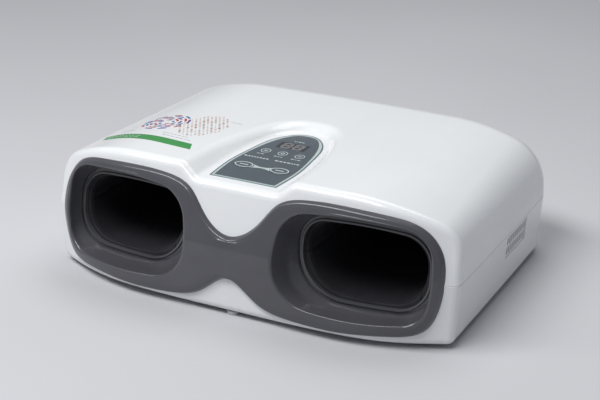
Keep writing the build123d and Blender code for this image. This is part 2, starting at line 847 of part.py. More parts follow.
# Power inlet: a flanged jack let in through the rear wall
with BuildPart() as power_inlet:
    with BuildSketch(across(rear_y - wall)):
        with Locations((inlet_x, inlet_z)):
            Rectangle(inlet_body[0], inlet_body[1])
    extrude(amount=inlet_body[2])
    with BuildSketch(across(rear_y - wall)):
        with Locations((inlet_x, inlet_z)):
            Circle(inlet_radius)
    extrude(amount=-wall)
    with BuildSketch(across(rear_y)):
        with Locations((inlet_x, inlet_z)):
            Circle(inlet_bore_radius)
    extrude(amount=inlet_depth, mode=Mode.SUBTRACT)
    with BuildSketch(across(rear_y - inlet_depth)):
        with Locations((inlet_x, inlet_z)):
            Circle(inlet_pin_radius)
    extrude(amount=-inlet_depth + 1)
finish("power_inlet", power_inlet.part)

# Screws: casing screws from below, chamber screws through the lugs, board screws
with BuildPart() as casing_screws:
    head_z = foot_height + screw_sink
    add(pegs(posts, screw_head_radius, head_z - screw_head_height, head_z))
    add(pegs(posts, screw_radius, head_z, seam_z + screw_grip))
finish("casing_screws", casing_screws.part)

with BuildPart() as chamber_screws:
    head_z = lug_post_z + lug_thickness
    add(pegs(lug_places, screw_head_radius, head_z, head_z + screw_head_height))
    add(pegs(lug_places, screw_radius, lug_post_z - screw_grip + fit_gap, head_z))
finish("chamber_screws", chamber_screws.part)

with BuildPart() as board_screws:
    with BuildSketch(on_console(-board_drop - board_thickness)):
        with Locations(*mirrored_board_posts):
            Circle(board_screw_head_radius)
    extrude(amount=-board_screw_head_height)
    with BuildSketch(on_console(-board_drop - board_thickness)):
        with Locations(*mirrored_board_posts):
            Circle(board_screw_radius)
    extrude(amount=board_thickness + board_screw_grip - fit_gap)
    head_z = main_board_z + board_thickness
    add(pegs(main_board_posts, board_screw_head_radius, head_z, head_z + board_screw_head_height))
    add(pegs(main_board_posts, board_screw_radius, board_hole_z + fit_gap, head_z))
finish("board_screws", board_screws.part)

# Main board on the casing floor, its components, and the ribbon up to the control board
connector_size = (24.0, 7.0, 8.0)
connector_y = -70.0
capacitor_radius = 6.0
capacitor_height = 18.0
capacitor_places = [(-24, -106), (-8, -106), (8, -106)]
regulator_size = (16.0, 6.0, 14.0)
regulator_places = [(28, -100), (28, -86)]
chip_size = (20.0, 14.0, 2.0)
chip_place = (-22, -52)
ribbon_width = 20.0
ribbon_thickness = 1.2
ribbon_bow = 9.0
board_top_z = main_board_z + board_thickness

with BuildPart() as main_board:
    with BuildSketch(Plane.XY.offset(main_board_z)):
        with Locations((0, main_board_y)):
            Rectangle(*main_board_size)
        with Locations(*mirrored_places(main_board_posts)):
            Circle(board_screw_radius, mode=Mode.SUBTRACT)
    extrude(amount=board_thickness)
finish("main_board", main_board.part)

with BuildPart() as board_components:
    with BuildSketch(Plane.XY.offset(board_top_z)):
        with Locations(*capacitor_places):
            Circle(capacitor_radius)
    extrude(amount=capacitor_height)
    for size, places in (
        (regulator_size, regulator_places), (chip_size, [chip_place]), (connector_size, [(0, connector_y)])
    ):
        with BuildSketch(Plane.XY.offset(board_top_z)):
            with Locations(*places):
                Rectangle(size[0], size[1])
        extrude(amount=size[2])
finish("board_components", board_components.part)

ribbon_low_z = board_top_z + connector_size[2]
ribbon_top_z = (console_plane * Pos(0, connector_y - panel_front_y, -board_drop - board_thickness)).position.Z
with BuildPart() as ribbon_cable:
    middle_z = (ribbon_low_z + ribbon_top_z) / 2
    quarter = (ribbon_top_z - ribbon_low_z) / 4
    with BuildLine(Plane.YZ) as route:
        FilletPolyline(
            (connector_y, ribbon_low_z), (connector_y, ribbon_low_z + quarter / 2),
            (connector_y + ribbon_bow, middle_z), (connector_y, ribbon_top_z - quarter / 2),
            (connector_y, ribbon_top_z - 0.1),
            radius=0.9 * quarter,
        )
    with BuildSketch(Plane.XY.offset(ribbon_low_z)):
        with Locations((0, connector_y)):
            Rectangle(ribbon_width, ribbon_thickness)
    sweep(path=route.wires()[0])
finish("ribbon_cable", ribbon_cable.part)

# Air pump: a motor and a pump head on a cradle, standing on four rubber mounts
pump_y = 108.0
pump_z = 40.0
mount_places = [(28, pump_y - 18), (28, pump_y + 18)]
mount_radius = 6.0
cradle_z = 13.0
cradle_thickness = 2.5
cradle_size = (98.0, 50.0)
cradle_corner = 6.0
saddle_xs = (14.0, 36.0)
saddle_thickness = 4.0
saddle_width = 24.0
motor_front_x = -2.0
motor_rear_x = 46.0
motor_radius = 18.0
motor_end = 3.5
magnet_radius = 13.4
armature_radius = 12.8
armature_inset = 5.0
shaft_radius = 2.0
shaft_gap = 0.3
shaft_end = 4.0
head_front_x = -44.0
head_width = 44.0
head_height = 46.0
head_corner = 4.0
cavity_half = 12.0
cavity_front_x = -26.0
cavity_rear_x = -10.0
eccentric_radius = 7.0
eccentric_offset = 2.5
eccentric_gap = 3.0
barb_radius = 2.5
barb_bore_radius = 1.3
barb_length = 10.0
pump_port = (-24.0, 21.0)
cradle_top_z = cradle_z + cradle_thickness
head_low_z = pump_z - head_height / 2


def rod(plane, places, radius, length, bore=0.0):
    """Round bars, or tubes, standing on a plane."""
    with BuildPart() as bars:
        with BuildSketch(plane):
            with Locations(*places):
                Circle(radius)
                if bore:
                    Circle(bore, mode=Mode.SUBTRACT)
        extrude(amount=length)
    return bars.part


def crosswise(x):
    """An upright plane facing +X."""
    return Plane.YZ.offset(x)


def pump_rod(x, radius, length, lift=0.0):
    """A round bar along the pump's shaft line, or beside it, from x."""
    return rod(crosswise(x), [(pump_y, pump_z + lift)], radius, length)


with BuildPart() as rubber_mounts:
    add(pegs(mount_places, mount_radius, floor_z, cradle_z))
finish("rubber_mounts", rubber_mounts.part)

with BuildPart() as pump_cradle:
    with BuildSketch(Plane.XY.offset(cradle_z)):
        with Locations((0, pump_y)):
            RectangleRounded(*cradle_size, cradle_corner)
    extrude(amount=cradle_thickness)
    for x in saddle_xs:
        with BuildSketch(crosswise(x)):
            with Locations((pump_y, (cradle_top_z + pump_z - motor_radius / 2) / 2)):
                Rectangle(saddle_width, pump_z - motor_radius / 2 - cradle_top_z)
        extrude(amount=saddle_thickness)
    with BuildSketch(Plane.XY.offset(cradle_top_z)):
        with Locations((head_front_x / 2 + motor_front_x / 2, pump_y)):
            Rectangle(motor_front_x - head_front_x - motor_end, head_width - 2 * motor_end)
    extrude(amount=head_low_z - cradle_top_z)
    add(pump_rod(saddle_xs[0] - 1, motor_radius, 3 * motor_radius), mode=Mode.SUBTRACT)
finish("pump_cradle", pump_cradle.part)

with BuildPart() as pump_motor:
    add(pump_rod(motor_front_x, motor_radius, motor_rear_x - motor_front_x))
    magnet_length = motor_rear_x - motor_front_x - 2 * motor_end
    add(pump_rod(motor_front_x + motor_end, magnet_radius, magnet_length), mode=Mode.SUBTRACT)
    add(pump_rod(motor_front_x, shaft_radius + shaft_gap, 3 * motor_radius), mode=Mode.SUBTRACT)
finish("pump_motor", pump_motor.part)

with BuildPart() as pump_head:
    with BuildSketch(crosswise(head_front_x)):
        with Locations((pump_y, pump_z)):
            RectangleRounded(head_width, head_height, head_corner)
    extrude(amount=motor_front_x - head_front_x)
    with BuildSketch(crosswise(cavity_front_x)):
        with Locations((pump_y, pump_z)):
            Rectangle(2 * cavity_half, 2 * cavity_half)
    extrude(amount=cavity_rear_x - cavity_front_x, mode=Mode.SUBTRACT)
    bore_length = motor_front_x - cavity_front_x + shaft_end
    add(pump_rod(cavity_front_x - shaft_end, shaft_radius + shaft_gap, bore_length), mode=Mode.SUBTRACT)
    add(rod(across(pump_y - head_width / 2), [pump_port], barb_radius, barb_length, barb_bore_radius))
finish("pump_head", pump_head.part)

with BuildPart() as pump_rotor:
    shaft_front_x = cavity_front_x - shaft_end + shaft_gap
    add(pump_rod(shaft_front_x, shaft_radius, motor_rear_x + shaft_end - shaft_front_x))
    armature_length = magnet_length - 2 * armature_inset
    add(pump_rod(motor_front_x + motor_end + armature_inset, armature_radius, armature_length))
    eccentric_length = cavity_rear_x - cavity_front_x - 2 * eccentric_gap
    add(pump_rod(cavity_front_x + eccentric_gap, eccentric_radius, eccentric_length, eccentric_offset))
finish("pump_rotor", pump_rotor.part)

# Valve block: a manifold with four solenoid coils, each over a plunger that lifts off its seat
manifold_size = (84.0, 44.0)
manifold_y = 28.0
manifold_height = 18.0
manifold_low_z = floor_z
manifold_top_z = manifold_low_z + manifold_height
coil_size = (17.0, 18.0)
coil_height = 24.0
coil_xs = (-33, -11, 11, 33)
coil_y = 39.0
plunger_radius = 3.0
plunger_bore_gap = 0.3
plunger_length = 22.0
plunger_seat = 6.0
plunger_lift = 1.5
upper_barb_x = 14.0
lower_barb_x = 30.0
manifold_front_y = manifold_y - manifold_size[1] / 2
manifold_rear_y = manifold_y + manifold_size[1] / 2
plunger_seat_z = manifold_top_z - plunger_seat
coil_places = [(x, coil_y) for x in coil_xs]

with BuildPart() as valve_manifold:
    with BuildSketch(Plane.XY.offset(manifold_low_z)):
        with Locations((0, manifold_y)):
            Rectangle(*manifold_size)
    extrude(amount=manifold_height)
    add(
        rod(Plane.XY.offset(plunger_seat_z), coil_places, plunger_radius + plunger_bore_gap, plunger_seat),
        mode=Mode.SUBTRACT,
    )
    cell_barbs = mirrored_places([(upper_barb_x, upper_port[0]), (lower_barb_x, lower_port[0])])
    add(rod(Plane.XY.offset(manifold_top_z), cell_barbs, barb_radius, barb_length, barb_bore_radius))
    rear_barb_plane = across(manifold_rear_y + barb_length)
    add(rod(rear_barb_plane, [pump_port], barb_radius, barb_length, barb_bore_radius))
finish("valve_manifold", valve_manifold.part)

with BuildPart() as valve_coils:
    with BuildSketch(Plane.XY.offset(manifold_top_z)):
        with Locations(*coil_places):
            Rectangle(*coil_size)
    extrude(amount=coil_height)
    add(
        rod(
            Plane.XY.offset(manifold_top_z), coil_places, plunger_radius + plunger_bore_gap,
            plunger_length - plunger_seat + plunger_lift + plunger_bore_gap,
        ),
        mode=Mode.SUBTRACT,
    )
finish("valve_coils", valve_coils.part)

for number, place in enumerate(coil_places, start=1):
    plunger = rod(Plane.XY.offset(plunger_seat_z), [place], plunger_radius, plunger_length)
    finish(f"valve_plunger_{number}", plunger)

# Silicone hoses: from each chamber to the manifold, and from the pump to the manifold
hose_radius = 3.8
hose_cover = 7.0
barb_cover = barb_length - hose_cover


def annulus():
    """A hose cut across, in the plane of the sketch."""
    Circle(hose_radius)
    Circle(barb_radius, mode=Mode.SUBTRACT)


def cell_hose(port, barb_x):
    """A hose from a chamber's port, bent down in one arc onto a barb of the manifold."""
    y, z = port
    start_x = chamber_inner_x - barb_cover
    end_z = manifold_top_z + barb_cover
    bend = 0.45 * min(start_x - barb_x, z - end_z)
    with BuildPart() as tube:
        with BuildLine(across(y)) as route:
            FilletPolyline((start_x, z), (barb_x, z), (barb_x, end_z), radius=bend)
        with BuildSketch(crosswise(start_x)):
            with Locations((y, z)):
                annulus()
        sweep(path=route.wires()[0])
    return tube.part


for name, port, barb_x in (
    ("upper_cell_hose", upper_port, upper_barb_x), ("lower_cell_hose", lower_port, lower_barb_x)
):
    for side, part in both_sides(cell_hose(port, barb_x)).items():
        finish(side + "_" + name, part)

with BuildPart() as pump_hose:
    hose_front_y = manifold_rear_y + barb_cover
    hose_rear_y = pump_y - head_width / 2 - barb_cover
    with BuildSketch(across(hose_rear_y)):
        with Locations(pump_port):
            annulus()
    extrude(amount=hose_rear_y - hose_front_y)
finish("pump_hose", pump_hose.part)
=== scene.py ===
# %% [markdown]
# # Air compression hand massager
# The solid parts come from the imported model, in metres: X across, Y to the back, Z up.
# This script adds the finishes, the smooth front bezel, the soft linings and air cells,
# the printing on the control panel, the label, and a plain studio to see them in.

from math import asin, cos, pi, radians, sin, tan

import bmesh
import bpy
import numpy as np
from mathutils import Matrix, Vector


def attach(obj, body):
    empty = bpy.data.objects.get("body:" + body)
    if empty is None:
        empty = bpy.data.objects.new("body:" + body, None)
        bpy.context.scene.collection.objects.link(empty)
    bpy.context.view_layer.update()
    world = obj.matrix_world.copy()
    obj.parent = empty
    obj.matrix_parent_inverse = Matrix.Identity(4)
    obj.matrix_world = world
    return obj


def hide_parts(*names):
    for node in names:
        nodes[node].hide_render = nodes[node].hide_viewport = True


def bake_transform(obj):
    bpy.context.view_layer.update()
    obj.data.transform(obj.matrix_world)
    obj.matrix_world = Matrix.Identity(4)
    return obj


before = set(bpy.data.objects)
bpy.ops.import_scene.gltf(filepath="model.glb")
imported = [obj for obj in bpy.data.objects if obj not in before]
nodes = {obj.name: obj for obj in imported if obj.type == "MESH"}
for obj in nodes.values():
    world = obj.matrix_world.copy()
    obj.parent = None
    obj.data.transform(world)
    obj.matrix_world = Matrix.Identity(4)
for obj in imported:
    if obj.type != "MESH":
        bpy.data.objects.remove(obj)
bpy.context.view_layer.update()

# %% [markdown]
# ## Camera first
# The camera stands to the right of the object's front and looks down on it. A long lens
# keeps the outline calm. All other pieces are judged through it.

# %% Camera
CAMERA_PLACE = Vector((0.6814, -1.2914, 0.6675))
CAMERA_TURN = radians(27.93)
CAMERA_DIP = radians(22.42)
CAMERA_LENS, CAMERA_SENSOR, CAMERA_NEAR = 93.0, 36.0, 0.05


def placed(name, data, place, ahead):
    """Puts a camera or a lamp at a place, looking along a direction."""
    thing = bpy.data.objects.new(name, data)
    bpy.context.scene.collection.objects.link(thing)
    thing.location = place
    thing.rotation_mode = "QUATERNION"
    thing.rotation_quaternion = ahead.to_track_quat("-Z", "Y")
    return thing


camera_data = bpy.data.cameras.new("camera")
camera_data.lens, camera_data.sensor_width, camera_data.clip_start = CAMERA_LENS, CAMERA_SENSOR, CAMERA_NEAR
ahead = Vector((-sin(CAMERA_TURN) * cos(CAMERA_DIP), cos(CAMERA_TURN) * cos(CAMERA_DIP), -sin(CAMERA_DIP)))
bpy.context.scene.camera = placed("camera", camera_data, CAMERA_PLACE, ahead)

# %% [markdown]
# ## Shader arithmetic
# A finish is a small formula on the point being shaded. Writing `mask * 0.5 + 0.3` is easier
# to read than a chain of nodes, so a socket is wrapped in a class that turns each operator
# into its Math node. One method, `make`, adds every other node.


# %% Shader arithmetic
class Sock:
    """A shader socket whose operators add Math nodes."""

    def __init__(self, finish, out):
        self.finish, self.out = finish, out

    def math(self, operation, other=0.0):
        return self.finish.make("ShaderNodeMath", {"operation": operation}, {0: self, 1: other})

    def __add__(self, other):
        return self.math("ADD", other)

    def __mul__(self, other):
        return self.math("MULTIPLY", other)

    __radd__, __rmul__ = __add__, __mul__

    def step(self, low, high):
        """Smooth rise from 0 at low to 1 at high."""
        sockets = {"Value": self, "From Min": low, "From Max": high}
        return self.finish.make("ShaderNodeMapRange", {"interpolation_type": "SMOOTHSTEP"}, sockets)


class Finish:
    """A material under construction, with helpers for the patterns that plastics and cloth need."""

    def __init__(self, name):
        self.material = bpy.data.materials.new(name)
        self.material.use_nodes = True
        self.tree = self.material.node_tree
        self.tree.nodes.clear()
        output = self.tree.nodes.new("ShaderNodeOutputMaterial")
        self.shader = self.tree.nodes.new("ShaderNodeBsdfPrincipled")
        self.tree.links.new(self.shader.outputs[0], output.inputs[0])
        self.place = None

    def make(self, kind, settings=(), sockets=(), out=0):
        """Adds a node: its settings first, then a value or a link for each socket."""
        node = self.tree.nodes.new(kind)
        for name, value in dict(settings).items():
            setattr(node, name, value)
        for name, value in dict(sockets).items():
            self.feed(node.inputs[name], value)
        return Sock(self, node.outputs[out])

    def feed(self, socket, value):
        if isinstance(value, Sock):
            self.tree.links.new(value.out, socket)
        elif isinstance(value, tuple) and len(value) == 3 and len(socket.default_value) == 4:
            socket.default_value = (*value, 1.0)
        else:
            socket.default_value = value

    def point(self, turn=(0, 0, 0), scale=(1, 1, 1)):
        """The shaded point in object coordinates, in metres, turned or stretched for a pattern."""
        if self.place is None:
            self.place = self.make("ShaderNodeTexCoord", out=3)
        if (turn, scale) == ((0, 0, 0), (1, 1, 1)):
            return self.place
        return self.make("ShaderNodeMapping", {}, {"Vector": self.place, "Rotation": turn, "Scale": scale})

    def axes(self, point=None):
        """The point's three coordinates, one socket each."""
        split = self.make("ShaderNodeSeparateXYZ", {}, {0: point or self.point()})
        return [Sock(self, out) for out in split.out.node.outputs]

    def noise(self, scale, detail=2.0, rough=0.5, point=None, warp=0.0):
        place = point or self.point()
        sockets = {"Vector": place, "Scale": scale, "Detail": detail, "Roughness": rough, "Distortion": warp}
        return self.make("ShaderNodeTexNoise", {}, sockets)

    def mix(self, share, first, second):
        """Blends two colours by a share."""
        return self.make("ShaderNodeMix", {"data_type": "RGBA"}, {0: share, 6: first, 7: second}, 2)

    def bump(self, height, strength, distance, under=None):
        links = {"Height": height, "Strength": strength, "Distance": distance}
        if under is not None:
            links["Normal"] = under
        return self.make("ShaderNodeBump", {}, links)

    def done(self, share, first, second, rough, normal, **more):
        """Feeds the shader: two colours mixed by a share, gloss, relief and what else it is given.
        Underscores in a name stand for spaces."""
        colour = self.mix(share, first, second)
        for name, value in {"Base_Color": colour, "Roughness": rough, "Normal": normal, **more}.items():
            self.feed(self.shader.inputs[name.replace("_", " ")], value)
        return self.material


def dress(objects, material):
    """Gives one material to each object or CAD node."""
    for piece in objects:
        piece = nodes[piece] if isinstance(piece, str) else piece
        piece.data.materials.clear()
        piece.data.materials.append(material)


# %% [markdown]
# ## Moulded plastics
# A gloss moulding is never perfectly even: its surface swims a little like orange peel, its
# colour drifts by a percent or two, and handling leaves faint dull patches and a few hairline
# marks. Each plastic here has the same recipe with its own colour, gloss and grain.


# %% Moulded plastics
def moulded(name, colour, dark, gloss, peel=0.00003, peel_scale=90.0, coat=0.0, grain=0.0, scuffs=0.08):
    """Plastic: colour drifts towards dark in slow clouds, gloss varies in patches, and the skin swims."""
    f = Finish(name)
    clouds = f.noise(9.0, 3.0)
    streaks = f.noise(60.0, 4.0, 0.6, f.point(scale=(1.0, 0.25, 1.0)))
    marks = f.noise(420.0, 2.0, 0.6, f.point(turn=(0.3, 0.2, 0.7), scale=(1.0, 0.06, 0.4))).step(0.70, 0.78)
    drift = clouds.step(0.30, 0.75) * 0.6 + streaks.step(0.35, 0.8) * 0.4
    rough = (clouds.step(0.4, 0.7) * scuffs + streaks.step(0.4, 0.7) * scuffs * 0.5 + marks * scuffs) + gloss
    normal = f.bump(f.noise(peel_scale, 1.0), 0.35, peel)
    if grain:
        normal = f.bump(f.noise(2600.0, 2.0, 0.6), 0.5, grain, normal)
    return f.done(drift, colour, dark, rough, normal, Coat_Weight=coat, Coat_Roughness=0.06, IOR=1.47)


dress(["upper_casing", "lower_casing"], moulded(
    "shell_white", (0.80, 0.815, 0.825), (0.765, 0.78, 0.795), 0.17, 0.00002, 55.0, coat=0.2, scuffs=0.05,
))
for pieces, name, colour, dark, gloss, grain in (
    ("right_vent_grille left_vent_grille", "grille_grey",
     (0.76, 0.775, 0.79), (0.71, 0.725, 0.74), 0.3, 1e-5),
    ("right_chamber left_chamber", "chamber_grey", (0.10, 0.10, 0.108), (0.07, 0.07, 0.075), 0.45, 2e-5),
    ("tact_switches display_module board_components", "component_black",
     (0.030, 0.030, 0.032), (0.018, 0.018, 0.02), 0.42, 2e-5),
    ("pump_cradle pump_head valve_manifold", "pump_grey", (0.16, 0.17, 0.19), (0.11, 0.12, 0.13), 0.42, 2e-5),
    ("ribbon_cable", "ribbon_grey", (0.46, 0.46, 0.47), (0.38, 0.38, 0.40), 0.40, 0.0),
    ("power_inlet", "inlet_black", (0.024, 0.024, 0.026), (0.014, 0.014, 0.015), 0.33, 1e-5),
):
    dress(pieces.split(), moulded(name, colour, dark, gloss, grain=grain))
print("moulded finishes", len(bpy.data.materials))

# %% [markdown]
# ## Surfaces from two parameters
# Every new piece is a grid of points: one parameter runs round the piece and one runs
# across it. The grid becomes quads in one call, with no loop over the points.


# %% Grids into meshes
def grid_faces(rows, columns, closed):
    """Quads of a rows by columns grid, joined end to end along the columns if closed."""
    index = np.arange(rows * columns).reshape(rows, columns)
    if closed:
        index = np.hstack([index, index[:, :1]])
    quads = np.stack([index[:-1, :-1], index[:-1, 1:], index[1:, 1:], index[1:, :-1]], axis=-1)
    return quads.reshape(-1, 4)


def to_mesh(name, points, faces, uv=None):
    """A mesh object from arrays: points (n, 3) and faces (m, 4), with an optional UV for each point."""
    mesh = bpy.data.meshes.new(name)
    mesh.vertices.add(len(points))
    mesh.vertices.foreach_set("co", np.asarray(points, np.float32).ravel())
    mesh.loops.add(faces.size)
    mesh.loops.foreach_set("vertex_index", faces.ravel().astype(np.int32))
    mesh.polygons.add(len(faces))
    mesh.polygons.foreach_set("loop_start", np.arange(0, faces.size, faces.shape[1], dtype=np.int32))
    mesh.polygons.foreach_set("use_smooth", np.ones(len(faces), bool))
    mesh.update(calc_edges=True)
    mesh.validate()
    if uv is not None:
        layer = mesh.uv_layers.new(name="UVMap")
        layer.data.foreach_set("uv", np.asarray(uv, np.float32)[faces.ravel()].ravel())
    piece = bpy.data.objects.new(name, mesh)
    bpy.context.scene.collection.objects.link(piece)
    return piece


def weld(piece, distance=0.00002):
    """Merges doubled points and turns the faces outwards."""
    work = bmesh.new()
    work.from_mesh(piece.data)
    bmesh.ops.remove_doubles(work, verts=work.verts, dist=distance)
    bmesh.ops.recalc_face_normals(work, faces=work.faces)
    work.to_mesh(piece.data)
    work.free()
    return piece


def modify(piece, kind, **settings):
    """Adds a modifier and applies it, so that the piece's mesh is final."""
    modifier = piece.modifiers.new(kind.lower(), kind)
    for name, value in settings.items():
        setattr(modifier, name, value)
    bpy.context.view_layer.objects.active = piece
    bpy.context.view_layer.update()
    with bpy.context.temp_override(object=piece, active_object=piece, selected_objects=[piece]):
        bpy.ops.object.modifier_apply(modifier=modifier.name)
    return piece


def blend_in(low, high, value):
    """Smooth rise from 0 at low to 1 at high, for arrays."""
    share = np.clip((value - low) / (high - low), 0, 1)
    return share * share * (3 - 2 * share)


# %% [markdown]
# ## Front bezel
# The bezel is one moulding shaped like a pair of spectacles. Seen from a mouth's middle it is
# a profile that changes with direction: out of the ring, along the funnel, over a rolled lip,
# across a slightly crowned face and down a steep rim. So the surface is a fan of such
# profiles, one for each point of the outline. The nose side of a funnel is a wide scoop that
# ends in a crisp edge, the bottom lip is crisp, and the rest of the lip rolls softly.

# %% The casing's front, as the solids have it, in millimetres
FRONT_Y = -152.0
MID_RADIUS, MID_HALF = 3300.0, 100.0
END_RADIUS = 238.0
SEAM_Z = 65.0
LEAN, KINK = tan(radians(13.6)), 8.35
BEZEL_PROUD = 5.0
MOUTH = np.array([127.0, -116.0, 69.0])
MOUTH_YAW, MOUTH_PITCH = radians(5.0), radians(8.0)
MOUTH_ACROSS = np.array([cos(MOUTH_YAW), sin(MOUTH_YAW), 0.0])
MOUTH_OUT = np.array([
    sin(MOUTH_YAW) * cos(MOUTH_PITCH), -cos(MOUTH_YAW) * cos(MOUTH_PITCH), sin(MOUTH_PITCH),
])
MOUTH_UP = np.cross(MOUTH_OUT, MOUTH_ACROSS)
HOLE = ([(-60, -37), (59, -37), (60, 30.5), (-59.5, 33)], [44, 32, 28, 22])
THROAT = ([(-66.5, -43.5), (65.5, -43), (67, 37.5), (-66, 39.5)], [46, 34, 30, 26])
STEP = ([(-73.5, -46.5), (66, -44.5), (68.5, 43), (-72, 45)], [38, 24, 29, 30])
LIP = ([(-91.5, -47.5), (67, -50), (69, 47), (-84.5, 46.5)], [38, 22, 30, 36])
STEP_REACH, LIP_REACH = 12.0, 45.0
SIDE_BULGE = 3.0
CORNER_POINTS, SIDE_POINTS = 60, 42
OUTLINE = [
    (0, 82.4), (27, 96.6), (48, 121), (82.3, 129.7), (147.4, 127.2), (187, 115.5), (204, 93), (207.7, 69),
    (204.5, 43), (193, 20), (161, 12.0), (112.3, 9.4), (66, 10.9), (31, 20.6), (0, 39.7),
]


def front_at(x, z, proud):
    """Y of the front at x and z: a nearly flat arc, then a tight one. Over the seam it leans back, after a
    rounded bend, and proud is how far the surface stands out of the casing."""
    x = np.abs(x)
    turn = asin(MID_HALF / MID_RADIUS)
    centre_y = FRONT_Y + MID_RADIUS
    flat = centre_y - np.sqrt((MID_RADIUS + proud) ** 2 - x**2)
    joint_x, joint_y = (MID_RADIUS + proud) * sin(turn), centre_y - (MID_RADIUS + proud) * cos(turn)
    end = END_RADIUS + proud
    away = np.clip(x - joint_x + end * sin(turn), 0, end * 0.98)
    tight = joint_y + end * cos(turn) - np.sqrt(end**2 - away**2)
    rise = z - SEAM_Z
    bend = LEAN * (rise + KINK) ** 2 / (4 * KINK)
    lean = np.where(rise > KINK, LEAN * rise, np.where(rise < -KINK, 0, bend))
    return np.where(x < joint_x, flat, tight) + lean


def on_face(flat, proud):
    """Points of the front over x and z, standing proud of the casing by a length."""
    return np.stack([flat[..., 0], front_at(flat[..., 0], flat[..., 1], proud), flat[..., 1]], -1)


def ray(angles):
    """Unit vectors at angles: cosine across, sine up."""
    return np.stack([np.cos(angles), np.sin(angles)], -1)


def rounded(outline, spread):
    """A four-cornered outline with rounded corners, as a dense closed polyline.
    Each corner gives an arc about its own centre, and each side a shallow bow outwards."""
    corners = np.array(outline[0], float)
    corners = corners + spread * np.sign(corners)
    radii = np.array(outline[1], float) + spread
    pieces = []
    for i in range(4):
        before, here, after, following = (corners[(i + k) % 4] for k in (-1, 0, 1, 2))
        ends = (before, here), (here, after), (after, following)
        into, out, onward = ((b - a) / np.linalg.norm(b - a) for a, b in ends)
        turn = np.arccos(into @ out)
        start, end = here - into * radii[i] * tan(turn / 2), here + out * radii[i] * tan(turn / 2)
        centre = start + np.array([-into[1], into[0]]) * radii[i]
        angles = np.arctan2(*(start - centre)[::-1]) + np.linspace(0, turn, CORNER_POINTS)
        pieces.append(centre + radii[i] * ray(angles))
        side_end = after - out * radii[(i + 1) % 4] * tan(np.arccos(out @ onward) / 2)
        bow = SIDE_BULGE * np.linalg.norm(side_end - end) / np.linalg.norm(after - here)
        share = np.linspace(0, 1, SIDE_POINTS)[1:-1, None]
        side = end + (side_end - end) * share
        pieces.append(side + np.array([out[1], -out[0]]) * (4 * bow * share * (1 - share)))
    return np.vstack(pieces)


def polar(outline, angles, spread=0.0):
    """Points of a rounded outline in given directions from its middle, read off its polar form."""
    line = rounded(outline, spread)
    bearing = np.arctan2(line[:, 1], line[:, 0])
    order = np.argsort(bearing)
    far = np.interp(angles, bearing[order], np.hypot(*line[order].T), period=2 * pi)
    return far[:, None] * ray(angles)


def unit(vectors):
    return vectors / np.maximum(np.linalg.norm(vectors, axis=-1, keepdims=True), 1e-9)


def spline(points, count, end_slopes=None):
    """Points along a cubic curve through given points, closed unless its end slopes are given. Bending is
    even on both sides of each point, so the slopes solve one linear system. Each cubic is the sum of its end
    points and end slopes times Hermite's four weights."""
    closed = end_slopes is None
    points = np.array(points, float)
    size = len(points)
    line = np.vstack([points, points[:1]]) if closed else points
    width = np.linalg.norm(np.diff(line, axis=0), axis=1)
    rate = np.diff(line, axis=0) / width[:, None]
    even = np.arange(size) if closed else np.arange(1, size - 1)
    after, before = width[even], width[even - 1]
    system, wanted = np.eye(size), np.zeros((size, 2))
    system[even, even - 1], system[even, (even + 1) % size] = after, before
    system[even, even] = 2 * (after + before)
    wanted[even] = 3 * (after[:, None] * rate[even - 1] + before[:, None] * rate[even])
    if not closed:
        wanted[[0, -1]] = unit(np.array(end_slopes, float))
    slopes = np.linalg.solve(system, wanted)
    slopes = np.vstack([slopes, slopes[:1]])
    knots = np.concatenate([[0], np.cumsum(width)])
    at = np.linspace(0, knots[-1], count, endpoint=not closed)
    cell = np.clip(np.searchsorted(knots, at, side="right") - 1, 0, len(width) - 1)
    w = width[cell][:, None]
    t = (at - knots[cell])[:, None] / w
    return (
        (2 * t**3 - 3 * t**2 + 1) * line[cell] + (t**3 - 2 * t**2 + t) * w * slopes[cell]
        + (3 * t**2 - 2 * t**3) * line[cell + 1] + (t**3 - t**2) * w * slopes[cell + 1]
    )


def evenly(line, count, part=1.0):
    """Points evenly spaced over the first part of a polyline, and their distances along it."""
    walked = np.concatenate([[0], np.cumsum(np.linalg.norm(np.diff(line, axis=0), axis=1))])
    at = np.linspace(0, walked[-1] * part, count)
    return np.stack([np.interp(at, walked, line[:, i]) for i in (0, 1)], -1), at


# %% Bezel: the columns of the fan
RIM_INSET, RIM_ROUND = 2.4, 1.3
OUTLINE_COLUMNS, MIDDLE_COLUMNS = 560, 60
LOOP_POINTS, HALVINGS = 4000, 40
RING_REACH = 0.2

left_side = [(-x, z) for x, z in OUTLINE[-2:0:-1]]
loop = spline(OUTLINE + left_side, LOOP_POINTS)
outline, stations = evenly(np.vstack([loop, loop[:1]]), OUTLINE_COLUMNS, 0.5)
outline[[0, -1], 0] = 0.0
along = np.gradient(outline, axis=0)
along[[0, -1], 1] = 0.0
along /= np.linalg.norm(along, axis=1)[:, None]
inwards = np.stack([along[:, 1], -along[:, 0]], -1)
rim_edge = outline + inwards * RIM_INSET
face_edge = outline + inwards * (RIM_INSET + RIM_ROUND)
middle = np.linspace(face_edge[-1, 1], face_edge[0, 1], MIDDLE_COLUMNS + 2)[1:-1]
face_end = np.vstack([face_edge, np.stack([np.zeros(MIDDLE_COLUMNS), middle], -1)])
fan = np.arctan2(face_end[:, 1] - MOUTH[2], face_end[:, 0] - MOUTH[0])
print("outline half length", round(float(stations[-1]), 1), "columns", len(fan))


def funnel_ring(outline, reach):
    """The funnel's outline at one distance in front of the mouth's own plane, one point for each column."""
    flat = polar(outline, fan)
    return MOUTH + flat[:, :1] * MOUTH_ACROSS + flat[:, 1:] * MOUTH_UP + reach * MOUTH_OUT


